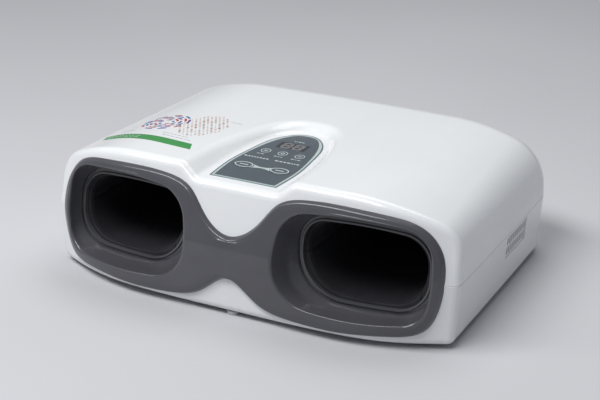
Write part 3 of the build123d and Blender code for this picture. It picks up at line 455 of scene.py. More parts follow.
ring_line = funnel_ring(THROAT, RING_REACH)
step_line = funnel_ring(STEP, STEP_REACH)
far_line = funnel_ring(LIP, LIP_REACH)
low, high = np.zeros(len(fan)), np.ones(len(fan))
for _ in range(HALVINGS):
    half = (low + high) / 2
    at = step_line + (far_line - step_line) * half[:, None]
    outside = at[:, 1] < front_at(at[:, 0], at[:, 2], BEZEL_PROUD)
    low, high = np.where(outside, low, half), np.where(outside, half, high)
lip_line = step_line + (far_line - step_line) * low[:, None]
print("lip across", round(float(np.ptp(lip_line[:, 0])), 1), "up", round(float(np.ptp(lip_line[:, 2])), 1))


# %% Bezel: from the fan to a mesh
STEP_ROWS, LIP_ROWS, FACE_ROWS, RIM_ROWS = 9, 15, 28, 7
THROAT_ROWS, WALL_ROWS, SLOPE_ROWS = 4, 10, 5
EDGE_DROP, EDGE_WIDTH = 0.9, 9.0
MIDDLE_FADE = 6.0
CUT_MOST, STEP_CUT_MOST = 0.55, 0.38
RIM_DROP = 1.15
FOOT_PROUD, FOOT_CUT = 0.15, 1.3
BEZEL_WALL = 0.0018


def shares(count):
    """Even steps from 0 to 1, one for each row of a grid."""
    return np.linspace(0, 1, count)[:, None, None]


def eased(before, corner, after, cut_before, cut_after, count):
    """A corner eased by a quadratic curve that starts and ends at given distances from it."""
    start = corner + unit(before - corner) * cut_before[:, None]
    end = corner + unit(after - corner) * cut_after[:, None]
    t = shares(count)
    return (1 - t) ** 2 * start + 2 * t * (1 - t) * corner + t**2 * end


def bezel_half():
    """One half of the bezel. Rows run from the ring over the lip to the rim, columns run round the mouth.
    The lip and the step are eased by lengths that differ at the nose, at the outer side and below."""
    nose = blend_in(0.30, 0.90, -np.cos(fan))
    outer = blend_in(0.55, 0.95, np.cos(fan))
    below = blend_in(0.30, 0.85, -np.sin(fan)) * (1 - nose)
    flat_lip = lip_line[:, [0, 2]]
    span = np.linalg.norm(face_end - flat_lip, axis=1)
    lip_out = np.minimum(5.0 - 2.2 * nose + 3.0 * outer - 3.2 * below, CUT_MOST * span)
    wall_length = np.linalg.norm(lip_line - step_line, axis=1)
    lip_in = np.minimum(4.5 - 2.0 * nose + 3.0 * outer - 2.7 * below, CUT_MOST * wall_length)
    step_cut = np.minimum(4.5 - 0.5 * nose, STEP_CUT_MOST * wall_length)
    roll_start = on_face(flat_lip + unit(face_end - flat_lip) * lip_out[:, None], BEZEL_PROUD)
    step_curve = eased(ring_line, step_line, lip_line, step_cut, step_cut, STEP_ROWS)
    lip_curve = eased(step_line, lip_line, roll_start, lip_in, lip_out, LIP_ROWS)
    t = shares(FACE_ROWS)[1:]
    flat = lip_curve[-1][:, [0, 2]] * (1 - t) + face_end * t
    from_rim = np.linalg.norm(flat - face_end, axis=-1)
    with_rim = np.concatenate([np.ones(OUTLINE_COLUMNS), np.zeros(MIDDLE_COLUMNS)])
    edge_drop = np.clip(1 - from_rim / EDGE_WIDTH, 0, 1) ** 2 * EDGE_DROP
    near_middle = np.clip(np.abs(face_end[:, 0]) / MIDDLE_FADE, 0, 1)
    face = on_face(flat, BEZEL_PROUD)
    face[..., 1] += edge_drop * with_rim * near_middle
    throat = ring_line + (step_curve[0] - ring_line) * shares(THROAT_ROWS)[:-1]
    wall = step_curve[-1] + (lip_curve[0] - step_curve[-1]) * shares(WALL_ROWS)[1:-1]
    body = np.concatenate([throat, step_curve, wall, lip_curve, face])
    last = face[-1, :OUTLINE_COLUMNS]
    top = on_face(rim_edge, BEZEL_PROUD)
    top[:, 1] += (last[:, 1] - front_at(last[:, 0], last[:, 2], BEZEL_PROUD)) * RIM_DROP
    foot = on_face(outline, FOOT_PROUD)
    to_top = np.linalg.norm(last - top, axis=1)
    curve = eased(last, top, foot, to_top, np.full(OUTLINE_COLUMNS, FOOT_CUT), RIM_ROWS)
    slope = curve[-1] + (foot - curve[-1]) * shares(SLOPE_ROWS)[1:]
    return body, np.concatenate([curve, slope])


body, rim = bezel_half()
grids = []
for grid, closed in ((body, True), (rim, False)):
    faces = grid_faces(len(grid), grid.shape[1], closed)
    points = grid.reshape(-1, 3)
    grids += [(points, faces), (points * [-1, 1, 1], faces[:, ::-1])]


def joined(name, shapes, distance=0.000001):
    """One object from several (points, faces) pairs, in millimetres, with doubled points merged."""
    offsets = np.cumsum([0] + [len(points) for points, _ in shapes[:-1]])
    points = np.concatenate([points for points, _ in shapes]) / 1000
    faces = np.concatenate([faces + start for (_, faces), start in zip(shapes, offsets)])
    return weld(to_mesh(name, points, faces), distance)


bezel = joined("bezel", grids, 0.00002)
modify(bezel, "SOLIDIFY", thickness=BEZEL_WALL, offset=-1.0)
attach(bezel, "casing")
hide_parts("front_bezel")
print("bezel points", len(bezel.data.vertices))

# %% [markdown]
# ## Bezel finish
# The bezel is moulded in grey and sprayed with a satin lacquer: a dark grey with very fine
# pale flakes under a thin clear coat.

# %% Bezel finish
def lacquered(name, colour, dark, flake, gloss):
    """Satin lacquer: slow clouds between two greys, and fine pale flakes that also roughen the gloss."""
    f = Finish(name)
    clouds = f.noise(14.0, 3.0).step(0.3, 0.75)
    flakes = f.noise(5200.0, 1.0, 0.5).step(0.62, 0.72)
    handled = f.noise(38.0, 3.0, 0.55, warp=0.4).step(0.45, 0.8)
    rough = handled * 0.07 + flakes * 0.05 + gloss
    normal = f.bump(flakes, 0.15, 0.000004, f.bump(f.noise(70.0, 1.0), 0.3, 0.00002))
    return f.done(
        flakes * 0.35, f.mix(clouds, colour, dark), flake, rough, normal,
        Metallic=0.05, Specular_IOR_Level=0.3, Coat_Weight=0.55, Coat_Roughness=0.07,
    )


dress([bezel, "right_mouth_ring", "left_mouth_ring"], lacquered(
    "bezel_grey", (0.086, 0.086, 0.097), (0.072, 0.072, 0.082), (0.18, 0.18, 0.20), 0.30,
))

# %% [markdown]
# ## Control panel
# The panel is one printed sheet under gloss: a pale pearl border, a dark outline and a slate
# face. The icons, rings, the link between the two buttons and the text lines are printed in
# pale silver. Words are shown as plain bars. Printing is a skin a few hundredths of a
# millimetre thick, laid in the plane of the panel.

# %% Panel plane and printed shapes
PANEL_FRONT = np.array([0.0, -122.0, 128.5])
PANEL_TILT = radians(0.55)
PANEL_ALONG = np.array([0.0, cos(PANEL_TILT), sin(PANEL_TILT)])
PANEL_OUT = np.array([0.0, -sin(PANEL_TILT), cos(PANEL_TILT)])
PANEL_TOP, BUTTON_TOP = 0.4, 0.9
PRINT = 0.04


def on_panel(flat, level):
    """Panel coordinates (across, along) at a level over the console floor, as points in millimetres."""
    return PANEL_FRONT + flat[..., :1] * [1.0, 0, 0] + flat[..., 1:2] * PANEL_ALONG + level * PANEL_OUT


def through(rows):
    """Quads through closed lines with the same number of points, each given with its level."""
    points = np.stack([on_panel(line, level) for line, level in rows])
    return points.reshape(-1, 3), grid_faces(*points.shape[:2], True)


def band(outer, inner, level):
    """A printed band between two closed outlines: its foot, its top and both edges."""
    top = level + PRINT
    return through([(outer, level), (outer, top), (inner, top), (inner, level), (outer, level)])


def patch(outline, level):
    """A printed patch inside a closed outline: the outline drawn in to its middle, with an edge round it."""
    middle = outline.mean(0) + (outline - outline.mean(0)) * 1e-3
    top = level + PRINT
    return through([(middle, level), (outline, level), (outline, top), (middle, top)])


def printed_piece(name, shapes, body):
    """Printed shapes as one flat-shaded piece that rides a body."""
    piece = joined(name, shapes)
    piece.data.shade_flat()
    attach(piece, body)
    return piece


def oval(centre, half_x, half_y, count=64):
    """An ellipse as a closed outline, from cosine and sine of even turns."""
    return centre + ray(np.linspace(0, 2 * pi, count, endpoint=False)) * [half_x, half_y]


def bar(centre, length, width, turn=0.0):
    """A stroke with round ends, as an outline."""
    right = ray(np.linspace(-pi / 2, pi / 2, 9)) * width / 2 + [length / 2 - width / 2, 0]
    shape = np.concatenate([right, -right])
    spin = np.array([[cos(turn), sin(turn)], [-sin(turn), cos(turn)]])
    return shape @ spin + centre


# %% The panel's outline
PANEL_LENGTH = 136.3
PANEL_FRONT_HALF, PANEL_WIDEST_HALF = 36.0, 38.6
SHOULDERS = (1, 0.31), (0.92, 0.55), (0.5, 0.925)
FRONT_SLOPE = 0.09


def panel_outline(inset):
    """The panel's arch drawn in by an inset: the right side, the left side and the straight front."""
    widest, tip = PANEL_WIDEST_HALF - inset, PANEL_LENGTH - inset
    corner = [PANEL_FRONT_HALF - inset, inset]
    shoulders = [(across * widest, along * tip) for across, along in SHOULDERS]
    side = spline([corner, *shoulders, (0, tip)], 90, [(FRONT_SLOPE, 1), (-1, 0)])
    front = np.linspace(-1, 1, 20)[1:-1, None] * [PANEL_FRONT_HALF - inset, 0] + [0, inset]
    return np.concatenate([side, (side * [-1, 1])[-2::-1], front])


# %% Printing on the panel
BUTTON_AT = 19.5, 37.5
BUTTON_HOLE, BUTTON_RING = (10.6, 7.2), ((9.9, 6.5), (8.6, 5.2))
BUTTON_STROKE = 9.5, 1.7
LINK_WAIST, LINK_FLARE = 1.3, 3.4
LENS_AT, LENS_PITCH = 80.0, 18.8
LENS_RING, DOT_RING = (5.2, 4.3), (2.1, 1.1)
WINDOW_AT = 101.0
TITLE_AT, TITLE_LONG, TITLE_HIGH = 60.0, 27.0, 2.2
TEXT_GAP, WORD_LENGTHS = 0.7, (1.6, 4.2)
OUTLINE_INSETS = 0.1, 1.25

outline_band = band(*(panel_outline(inset) for inset in OUTLINE_INSETS), PANEL_TOP)
outline_print = printed_piece("panel_outline_print", [outline_band], "casing")

marks = []
rng = np.random.default_rng(7)


def words(start, stop, shortest, longest, gap):
    """A line of text as strokes of mixed length with even gaps: the start and the length of each."""
    while start < stop:
        word = float(rng.uniform(shortest, longest))
        yield start, word
        start += word + gap


def text_bars(start, length, height, along):
    for x, word in words(start, start + length, *WORD_LENGTHS, TEXT_GAP):
        marks.append(patch(bar((x + word / 2, along), word, min(height, word)), PANEL_TOP))


def circle(x, outer, inner):
    marks.append(band(oval((x, LENS_AT), outer, outer), oval((x, LENS_AT), inner, inner), PANEL_TOP))


def link_outline(half_gap):
    """The waisted link between the buttons: it widens to both ends, and each end follows a button's edge."""
    end_half = LINK_WAIST + LINK_FLARE
    rise = np.linspace(end_half, -end_half, 13)
    end = half_gap + BUTTON_HOLE[0] * (1 - np.sqrt(1 - (rise / BUTTON_HOLE[1]) ** 2))
    x = np.linspace(-end[0], end[0], 33)[:-1]
    top = np.stack([x, LINK_WAIST + LINK_FLARE * np.abs(x / end[0]) ** 1.8], -1)
    right = np.stack([end, rise], -1)[:-1]
    return np.concatenate([top, right, -top, -right])


for x in (-LENS_PITCH, 0.0, LENS_PITCH):
    circle(x, *LENS_RING)
    text_bars(x - 5.0, 8.5, 1.4, LENS_AT - 9.5)
for x in (-32.0, 2.0):
    text_bars(x, TITLE_LONG, TITLE_HIGH, TITLE_AT)
for rise in (-1.1, 1.1):
    marks.append(patch(bar((-LENS_PITCH, LENS_AT + rise), 4.0, 1.0), PANEL_TOP))
circle(0.0, *DOT_RING)
for shift in (-1.5, 0.0, 1.5):
    marks.append(patch(bar((LENS_PITCH + shift, LENS_AT), 4.0 - abs(shift), 0.8, pi / 2), PANEL_TOP))
text_bars(-5.5, 10.0, 1.6, WINDOW_AT + 14.0)
marks.append(patch(link_outline(BUTTON_AT[0] - BUTTON_HOLE[0]) + (0, BUTTON_AT[1]), PANEL_TOP))
print_marks = printed_piece("panel_print", marks, "casing")

button_prints = []
for name, x in (("start_button", -BUTTON_AT[0]), ("mode_button", BUTTON_AT[0])):
    spot = (x, BUTTON_AT[1])
    ring = band(*(oval(spot, *half) for half in BUTTON_RING), BUTTON_TOP)
    shapes = [ring, patch(bar(spot, *BUTTON_STROKE), BUTTON_TOP)]
    button_prints.append(printed_piece(f"{name}_print", shapes, name))
print("printed pieces", 1 + len(button_prints), "points", len(print_marks.data.vertices))

# %% Display digits: two unlit seven-segment eights behind the window
DIGIT_WIDTH, DIGIT_HEIGHT, DIGIT_STROKE = 7.6, 11.6, 0.8
DIGIT_SLANT, DIGIT_HALF_PITCH = 0.10, 6.4
SEGMENT_GAP, RIM_SPREAD = 0.9, 1.6

segments, rims = [], []
half_w, half_h = DIGIT_WIDTH / 2, DIGIT_HEIGHT / 2
level_strokes = [(0, half_h), (0, 0), (0, -half_h)]
upright_strokes = [(-half_w, half_h / 2), (half_w, half_h / 2), (-half_w, -half_h / 2), (half_w, -half_h / 2)]
for digit_x in (-DIGIT_HALF_PITCH, DIGIT_HALF_PITCH):
    for turn, reach, places in ((0, DIGIT_WIDTH, level_strokes), (pi / 2, half_h, upright_strokes)):
        length = reach - SEGMENT_GAP
        for dx, dy in places:
            centre = (digit_x + dx + DIGIT_SLANT * dy, WINDOW_AT + dy)
            rims.append(patch(bar(centre, length + RIM_SPREAD, DIGIT_STROKE + RIM_SPREAD, turn), PANEL_TOP))
            segments.append(patch(bar(centre, length, DIGIT_STROKE, turn), PANEL_TOP + PRINT))
digits, digit_rims = (
    printed_piece(f"display_segment{end}", shapes, "casing")
    for end, shapes in (("s", segments), ("_rims", rims))
)


# %% Panel finishes
def filmed(f, share, colour, dark, rough, **more):
    """Print or trim under a gloss film that swims a little."""
    skin = f.bump(f.noise(120.0, 2.0), 0.25, 0.00002)
    return f.done(share, colour, dark, rough, skin, Coat_Roughness=0.08, **more)


def printed(name, colour, dark, gloss, coat=0.6):
    """Ink under film: a trace of dither in the colour, and slow clouds in colour and gloss."""
    f = Finish(name)
    speck = f.noise(3000.0, 1.0).step(0.4, 0.7)
    cloud = f.noise(40.0, 2.0).step(0.3, 0.8)
    rough = cloud * 0.06 + f.noise(300.0, 2.0).step(0.5, 0.8) * 0.05 + gloss
    return filmed(f, speck * 0.5 + cloud * 0.5, colour, dark, rough, Coat_Weight=coat)


def trim_finish():
    """The trim's pearl border: fine pale grain in slow clouds."""
    f = Finish("panel_pearl")
    pearl = f.noise(1800.0, 2.0).step(0.45, 0.75)
    slow = f.noise(25.0, 2.0).step(0.3, 0.8)
    tones = (0.50, 0.60, 0.60), (0.60, 0.70, 0.695)
    return filmed(f, pearl * 0.4 + slow * 0.3, *tones, slow * 0.08 + 0.26, Metallic=0.15, Coat_Weight=0.5)


dress(["panel_trim"], trim_finish())
for pieces, *look in (
    (["panel_overlay", "start_button", "mode_button", outline_print], "panel_slate",
     (0.078, 0.098, 0.115), (0.060, 0.078, 0.094), 0.28),
    (["display_window"], "window_film", (0.030, 0.029, 0.034), (0.024, 0.023, 0.028), 0.16),
    ([print_marks, *button_prints], "silver_ink", (0.52, 0.60, 0.60), (0.44, 0.52, 0.52), 0.35),
    ([digits], "segment_dark", (0.022, 0.019, 0.020), (0.016, 0.014, 0.015), 0.3),
    ([digit_rims], "segment_rim", (0.36, 0.36, 0.37), (0.29, 0.29, 0.30), 0.3),
):
    dress(pieces, printed(*look))

# %% [markdown]
# ## Tunnel linings
# Each hand tunnel is lined with a black knitted sock, padded a little, that is folded at
# mid-height and closed at its end. The air cells over and under it press its upper and lower
# halves together. Each half is one sheet of points: one parameter runs over the section from
# fold to fold, one runs from the mouth to the end wall. The sheet is pushed in by a soft crown
# and by wrinkles, then gets its padded thickness. At the mouth it turns outwards into a hem that
# lies behind the ring.

# %% Lining surface
LINING_GAP, LINING_THICK = 0.6, 1.8
LINING_SPREAD = -LINING_GAP - LINING_THICK / 2
LINING_REAR = 43.6
HEM_REACH, HEM_BEND, HEM_WIDTH = -5.0, 2.6, 1.2
SECTION_POINTS, HEM_ROWS, DEPTH_ROWS, END_ROWS = 132, 7, 84, 16
ARC_POINTS = 1200
CROWN, WRINKLE, TUCK = 2.6, 0.75, 1.4
END_BULGE = 1.2
MIRROR = np.array([-1.0, 1.0, 1.0])


def plane_y(x, z, reach):
    """Y of the plane parallel to a mouth at one distance from it."""
    return MOUTH[1] + (reach - (x - MOUTH[0]) * MOUTH_OUT[0] - (z - MOUTH[2]) * MOUTH_OUT[2]) / MOUTH_OUT[1]


def half_section(spread, upper, count):
    """The hole's outline over (or under) its middle, evenly spaced from one fold to the other."""
    angles = np.linspace(0, pi, ARC_POINTS) * (1 if upper else -1)
    return evenly(polar(HOLE, angles, spread), count)


def in_plane(flat, reach):
    """Mouth coordinates (across, up) as points of the plane parallel to the mouth at one distance."""
    x, z = MOUTH[0] + flat[..., 0], MOUTH[2] + flat[..., 1]
    return np.stack([x, plane_y(x, z, reach), z], -1)


def hem_row(spread, reach, upper):
    """One row of the hem: the section widened by a spread."""
    return in_plane(half_section(spread, upper, SECTION_POINTS)[0], reach)


def ripples(across, along, seed, waves=9):
    """Soft wrinkles between -1 and 1: a sum of slanted waves of random length."""
    random = np.random.default_rng(seed)
    total = np.zeros(np.broadcast(across, along).shape)
    for _ in range(waves):
        length_across, length_along = random.uniform(18, 60), random.uniform(14, 48)
        total += np.sin(2 * pi * (across / length_across + along / length_along) + random.uniform(0, 2 * pi))
    return total / waves**0.5 / 1.6


def lining_half(side, upper, seed):
    """Half a lining. Its crown bulges into the tunnel and is nil at the folds, the mouth and the end.
    Wrinkles are strongest near the folds, where the cloth is tucked outwards."""
    section, across = half_section(LINING_SPREAD, upper, SECTION_POINTS)
    share = across / across[-1]
    rows = np.linspace(0, 1, DEPTH_ROWS)[:, None]
    x, z = MOUTH[0] + section[:, 0], MOUTH[2] + section[:, 1]
    front = plane_y(x, z, HEM_REACH - HEM_BEND)
    y = front + (LINING_REAR - front) * rows
    depth = y - front
    from_fold = np.minimum(share, 1 - share)
    crown = (1 - (1 - np.sin(pi * share)) ** 2.4) * blend_in(4.0, 60.0, depth)
    crown = crown * (0.45 + 0.55 * blend_in(165, 90, depth))
    slack = (0.4 + 0.6 * np.exp(-((from_fold / 0.10) ** 2))) * blend_in(6.0, 34.0, depth)
    tuck = np.exp(-((from_fold * across[-1] / 3.0) ** 2)) * blend_in(0.0, 5.0, depth)
    push = CROWN * crown + WRINKLE * slack * ripples(across, depth, seed) - TUCK * tuck
    to_middle = -unit(section + [0.0, 1e-6])
    x = x + push * to_middle[:, 0]
    z = z + push * to_middle[:, 1] * blend_in(0, 3.0, np.abs(section[:, 1]))
    tube = np.stack([x, y, z], -1)
    hem = [hem_row(LINING_SPREAD + HEM_BEND + HEM_WIDTH, HEM_REACH, upper)] + [
        hem_row(LINING_SPREAD + HEM_BEND * (1 - cos(turn)), HEM_REACH - HEM_BEND * (1 - sin(turn)), upper)
        for turn in np.linspace(pi / 2, 0, HEM_ROWS)[:-1]
    ]
    shrink = np.cos(np.linspace(0, pi / 2, END_ROWS + 1)[1:] * 0.97)[:, None]
    wall_x, wall_z = (MOUTH[i] + (tube[-1][:, i] - MOUTH[i]) * shrink for i in (0, 2))
    wall_y = LINING_REAR - END_BULGE * (1 - shrink**2) * np.sin(pi * share)
    points = np.concatenate([hem, tube, np.stack([wall_x, wall_y, wall_z], -1)])
    keep, fold = (np.maximum, MOUTH[2] + 0.1) if upper else (np.minimum, MOUTH[2] - 0.1)
    points[..., 2] = keep(points[..., 2], fold)
    flat = np.ones_like(share)
    hem_depth = np.linspace(-6, -0.7, HEM_ROWS)[:, None] * flat
    along_lining = np.vstack([hem_depth, depth, depth[-1] + 60 * (1 - shrink) * flat])
    uv = np.stack(np.broadcast_arrays(across / 1000, along_lining / 1000), -1)
    return mirrored(points, side), uv


def mirrored(points, side):
    return points * (MIRROR if side == "left" else 1)


def bends(piece, side, half, still, moved):
    """Bakes the piece's placement into its mesh; the side, the half and the two heights it is given are not
    used.
    """
    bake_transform(piece)


def soft_sheet(name, points, thickness, uv=None):
    """A sheet of points with a padded thickness, closed at its edges."""
    faces = grid_faces(*points.shape[:2], False)
    piece = to_mesh(name, points.reshape(-1, 3) / 1000, faces, None if uv is None else uv.reshape(-1, 2))
    weld(piece, 0.000001)
    return modify(piece, "SOLIDIFY", thickness=thickness / 1000, offset=0.0, use_even_offset=False)


FOLD_Z = MOUTH[2] / 1000
LINING_FULL = {"upper": 0.099, "lower": 0.040}
linings = []
for side, other_seed in (("right", 0), ("left", 20)):
    for (half, full_z), seed in zip(LINING_FULL.items(), (3, 8)):
        points, uv = lining_half(side, half == "upper", seed + other_seed)
        lining = soft_sheet(f"{side}_lining_{half}", points, LINING_THICK, uv)
        bends(lining, side, half, FOLD_Z, full_z)
        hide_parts(f"{side}_sleeve_{half}")
        linings.append(lining)
print("linings", len(linings), "points each", len(linings[0].data.vertices))

# %% [markdown]
# ## Curtains and collars
# Two thin sheets of stretch fabric behind each half of a mouth ring close the gap that opens
# between the ring and the lining when an air cell fills. At rest the ring hides them. The
# collar is a flange round the lining, as wide as the chamber. The curtain lies in front of it.

# %% Curtains and collars
CHAMBER_INSIDE = ([(-65.0, -53.0), (66.0, -53.0), (66.0, 49.0), (-65.0, 49.0)], [17.5, 21.5, 30.0, 19.5])
CURTAIN_REACH, COLLAR_REACH = -3.25, -3.75
CURTAIN_THICK, CURTAIN_OVERLAP = 0.3, 0.9
CURTAIN_FROM = 20.0


def behind_ring(side, inner, outer, reach):
    """The strip between two lines in mouth coordinates, in a plane parallel to the mouth."""
    return mirrored(in_plane(inner + (outer - inner) * shares(12), reach), side)


def curtain(side, upper):
    """From the hole's outline straight up (or down) to the chamber's inside."""
    section, _ = half_section(-CURTAIN_OVERLAP, upper, 90)
    edge = section[np.abs(section[:, 1]) > CURTAIN_FROM]
    far = polar(CHAMBER_INSIDE, np.linspace(0, pi, 400) * (1 if upper else -1))[::-1]
    outer = np.stack([edge[:, 0], np.interp(edge[:, 0], *far.T)], -1)
    return behind_ring(side, edge, outer, CURTAIN_REACH)


def collar(side, upper):
    """From the hole's outline outwards to the chamber's inside, from fold to fold."""
    edge, _ = half_section(-CURTAIN_OVERLAP, upper, 130)
    edge[:, 1] = np.maximum(edge[:, 1], 0.1) if upper else np.minimum(edge[:, 1], -0.1)
    return behind_ring(side, edge, polar(CHAMBER_INSIDE, np.arctan2(edge[:, 1], edge[:, 0])), COLLAR_REACH)


def sheet_size(points):
    """Width, height and area of a sheet of points, in metres: the area is the sum over the grid's cells."""
    steps_x, steps_z = np.diff(points, axis=1)[:-1], np.diff(points, axis=0)[:, :-1]
    area = float(np.linalg.norm(np.cross(steps_x, steps_z), axis=-1).sum()) / 1e6
    return *(float(np.ptp(points[..., i])) / 1000 for i in (0, 2)), area


curtains = []
for side in ("right", "left"):
    for half, held_z, free_z in (("upper", 0.119, 0.110), ("lower", 0.0148, 0.026)):
        for kind, shape, still, moved in (
            ("curtain", curtain, held_z, free_z), ("collar", collar, FOLD_Z, LINING_FULL[half]),
        ):
            points = shape(side, half == "upper")
            wide, tall, area = sheet_size(points)
            piece = soft_sheet(f"{side}_{kind}_{half}", points, CURTAIN_THICK)
            bends(piece, side, half, still, moved)
            curtains.append(piece)
            print(piece.name, "flat", round(wide, 4), round(tall, 4), "area", round(area, 6))

# %% [markdown]
# ## Air cells
# An air cell is two sheets of coated nylon welded round their edge. Empty, it lies as a flat
# pillow with a thin rim and a few puckers running in from the weld. The surface is a grid in
# polar form: the outline is a rounded rectangle, and the height falls to the rim as a root.

# %% Air cells
CELL_MIDDLE, CELL_HALF = (127.0, -29.0), (37.0, 67.0)
CELL_SQUARENESS = 7.0
CELL_SEED, CELL_POINTS = 5, 240
WELD_SHARE, WELD_THICK = 0.92, 0.9
PUCKER, PUCKER_WAVES = 0.35, (23, 31, 41)
PUCKER_AT, PUCKER_WIDTH = 0.84, 0.07


def air_cell(side, low, height):
    """A pillow: radius runs 0 to 1 from the middle, the crown is (1 - radius^3)^0.5, the last 8 percent is
    the weld. Waves round the rim pucker it just inside the weld."""
    around = np.linspace(0, 2 * pi, CELL_POINTS, endpoint=False)
    squared = (np.abs(ray(around)) ** CELL_SQUARENESS).sum(-1) ** (-1 / CELL_SQUARENESS)
    radius = [*np.linspace(0.02, 0.80, 18), *np.linspace(0.82, WELD_SHARE, 10), 0.94, 0.97, 1.0]
    radius = np.array(radius)[:, None]
    x = CELL_HALF[0] * squared * np.cos(around) * radius
    y = CELL_HALF[1] * squared * np.sin(around) * radius
    crown = np.clip(1 - (radius / WELD_SHARE) ** 3, 0, 1) ** 0.5
    random = np.random.default_rng(CELL_SEED)
    pucker = sum(np.sin(k * around + random.uniform(0, 2 * pi)) / 3 for k in PUCKER_WAVES)
    near_rim = np.exp(-(((radius - PUCKER_AT) / PUCKER_WIDTH) ** 2))
    most = height / 2 - WELD_THICK / 2
    lift = np.minimum(most * crown + PUCKER * pucker * near_rim, most)
    middle = low + height / 2
    top = middle + WELD_THICK / 2 + lift
    sheets = [np.stack([CELL_MIDDLE[0] + x, CELL_MIDDLE[1] + y, z], -1) for z in (top, 2 * middle - top)]
    poles = [np.broadcast_to(s[:1].mean(1, keepdims=True), s[:1].shape) for s in sheets]
    points = np.concatenate([poles[0], sheets[0], sheets[1][::-1], poles[1]])
    return mirrored(points, side)


cells = []
for side in ("right", "left"):
    for half, low_z, height, back_z, front_z in (
        ("upper", 110.1, 9.0, 0.1191, 0.1101), ("lower", 14.9, 11.8, 0.0149, 0.0267),
    ):
        points = air_cell(side, low_z, height)
        faces = grid_faces(*points.shape[:2], True)
        piece = joined(f"{side}_bladder_{half}", [(points.reshape(-1, 3), faces)])
        bends(piece, side, half, back_z, front_z)
        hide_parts(f"{side}_{half}_air_cell")
        cells.append(piece)
print("air cells", len(cells), "points each", len(cells[0].data.vertices))

# %% [markdown]
# ## Cloth finishes
# The lining is a black tricot: fine ribs run across the tunnel, with a looser grain over them,
# and worn threads catch a little light. It follows the lining's own map, so it turns with the
# surface. The coated nylon of the air cells shows a fine plain weave under its coating.


# %% Cloth finishes
def wave(line):
    """A sine of a socket, lifted to run from 0 to 1."""
    return line.math("SINE") * 0.5 + 0.5


def knitted(name, colour, thread, pitch):
    """Black ribbed tricot on the piece's own map, in metres: ribs across, stitches along them."""
    f = Finish(name)
    across, along, _ = f.axes(f.make("ShaderNodeUVMap", {"uv_map": "UVMap"}))
    ribs = wave(along * (2 * pi / pitch))
    stitches = wave(across * (2 * pi / (pitch * 0.8)) + (along * (pi / pitch)).math("SINE") * 1.2)
    weave = ribs * 0.6 + stitches * 0.4
    fuzz = f.noise(900.0, 3.0, 0.6)
    worn = f.noise(30.0, 3.0, 0.55).step(0.45, 0.75)
    normal = f.bump(weave + fuzz * 0.5, 0.7, 0.0003, f.bump(f.noise(60.0, 3.0), 0.4, 0.0008))
    return f.done(
        weave * 0.55 + worn * fuzz * 0.4, colour, thread, worn * 0.06 + 0.86, normal,
        Sheen_Weight=0.04, Sheen_Roughness=0.5, Specular_IOR_Level=0.25,
    )


def coated(name, colour, dark, gloss, weave_size=2200.0):
    """Coated nylon or plain cloth read in object coordinates: two crossed waves give the weave."""
    f = Finish(name)
    x, y, _ = f.axes()
    weave = (x * weave_size).math("SINE") * (y * weave_size).math("SINE")
    cloud = f.noise(35.0, 3.0).step(0.35, 0.75)
    normal = f.bump(weave, 0.4, 0.00006, f.bump(f.noise(110.0, 3.0), 0.4, 0.0004))
    return f.done(cloud * 0.7 + weave * 0.15 + 0.15, colour, dark, cloud * 0.12 + gloss, normal)


dress(linings, knitted("lining_black", (0.007, 0.007, 0.010), (0.026, 0.026, 0.036), 0.0017))
dress(curtains, coated("curtain_black", (0.018, 0.018, 0.022), (0.010, 0.010, 0.013), 0.80))
dress(cells, coated("nylon_grey", (0.11, 0.11, 0.12), (0.07, 0.07, 0.08), 0.45))

# %% [markdown]
# ## Working parts
# The working parts are closed in, yet each has its own finish: brushed steel for screws,
# motor and plungers, wound copper for the coils, solder mask over glass cloth for the boards,
# grey rubber for the feet, clear silicone for the hoses.


# %% Finishes of the working parts
def steel(name, colour, dark, gloss, grain_scale=(1.0, 0.05, 1.0)):
    """Brushed or turned steel: stretched noise in colour, gloss and bump."""
    f = Finish(name)
    grain = f.noise(1500.0, 3.0, 0.6, f.point(scale=grain_scale))
    stain = f.noise(60.0, 3.0).step(0.4, 0.8)
    rough = grain * 0.12 + stain * 0.1 + gloss
    return f.done(grain * 0.5 + stain * 0.4, colour, dark, rough, f.bump(grain, 0.3, 0.00002), Metallic=0.95)


def solder_mask():
    """Green solder mask: glass cloth shows as a faint check, copper under it as paler tracks."""
    f = Finish("circuit_green")
    x, y, _ = f.axes()
    cloth = (x * 2600.0).math("SINE") * (y * 2600.0).math("SINE")
    tracks = ((x * 520.0 + f.noise(55.0, 2.0) * 9.0).math("SINE")).step(0.72, 0.82)
    return f.done(
        tracks * 0.55 + cloth * 0.08 + 0.08, (0.012, 0.085, 0.030), (0.035, 0.17, 0.06),
        tracks * 0.08 + 0.32, f.bump(tracks + cloth * 0.2, 0.4, 0.00005),
    )


def wound_copper():
    """Wound wire: turns lie round the upright axis, so height alone gives their pattern."""
    f = Finish("coil_copper")
    _, _, z = f.axes()
    turns = wave(z * (2 * pi / 0.0006))
    tape = f.noise(90.0, 3.0).step(0.4, 0.8)
    return f.done(
        turns * 0.7 + tape * 0.2, (0.30, 0.11, 0.045), (0.62, 0.28, 0.12),
        tape * 0.12 + 0.32, f.bump(turns, 0.6, 0.0001), Metallic=0.8,
    )


def rubbery(name, colour, dark, gloss):
    """Rubber or silicone: a dusty bloom in slow clouds over a fine pebble."""
    f = Finish(name)
    bloom = f.noise(70.0, 4.0, 0.6).step(0.35, 0.75)
    pebble = f.noise(1400.0, 2.0, 0.6)
    return f.done(bloom, colour, dark, bloom * 0.12 + gloss, f.bump(pebble, 0.4, 0.00004))


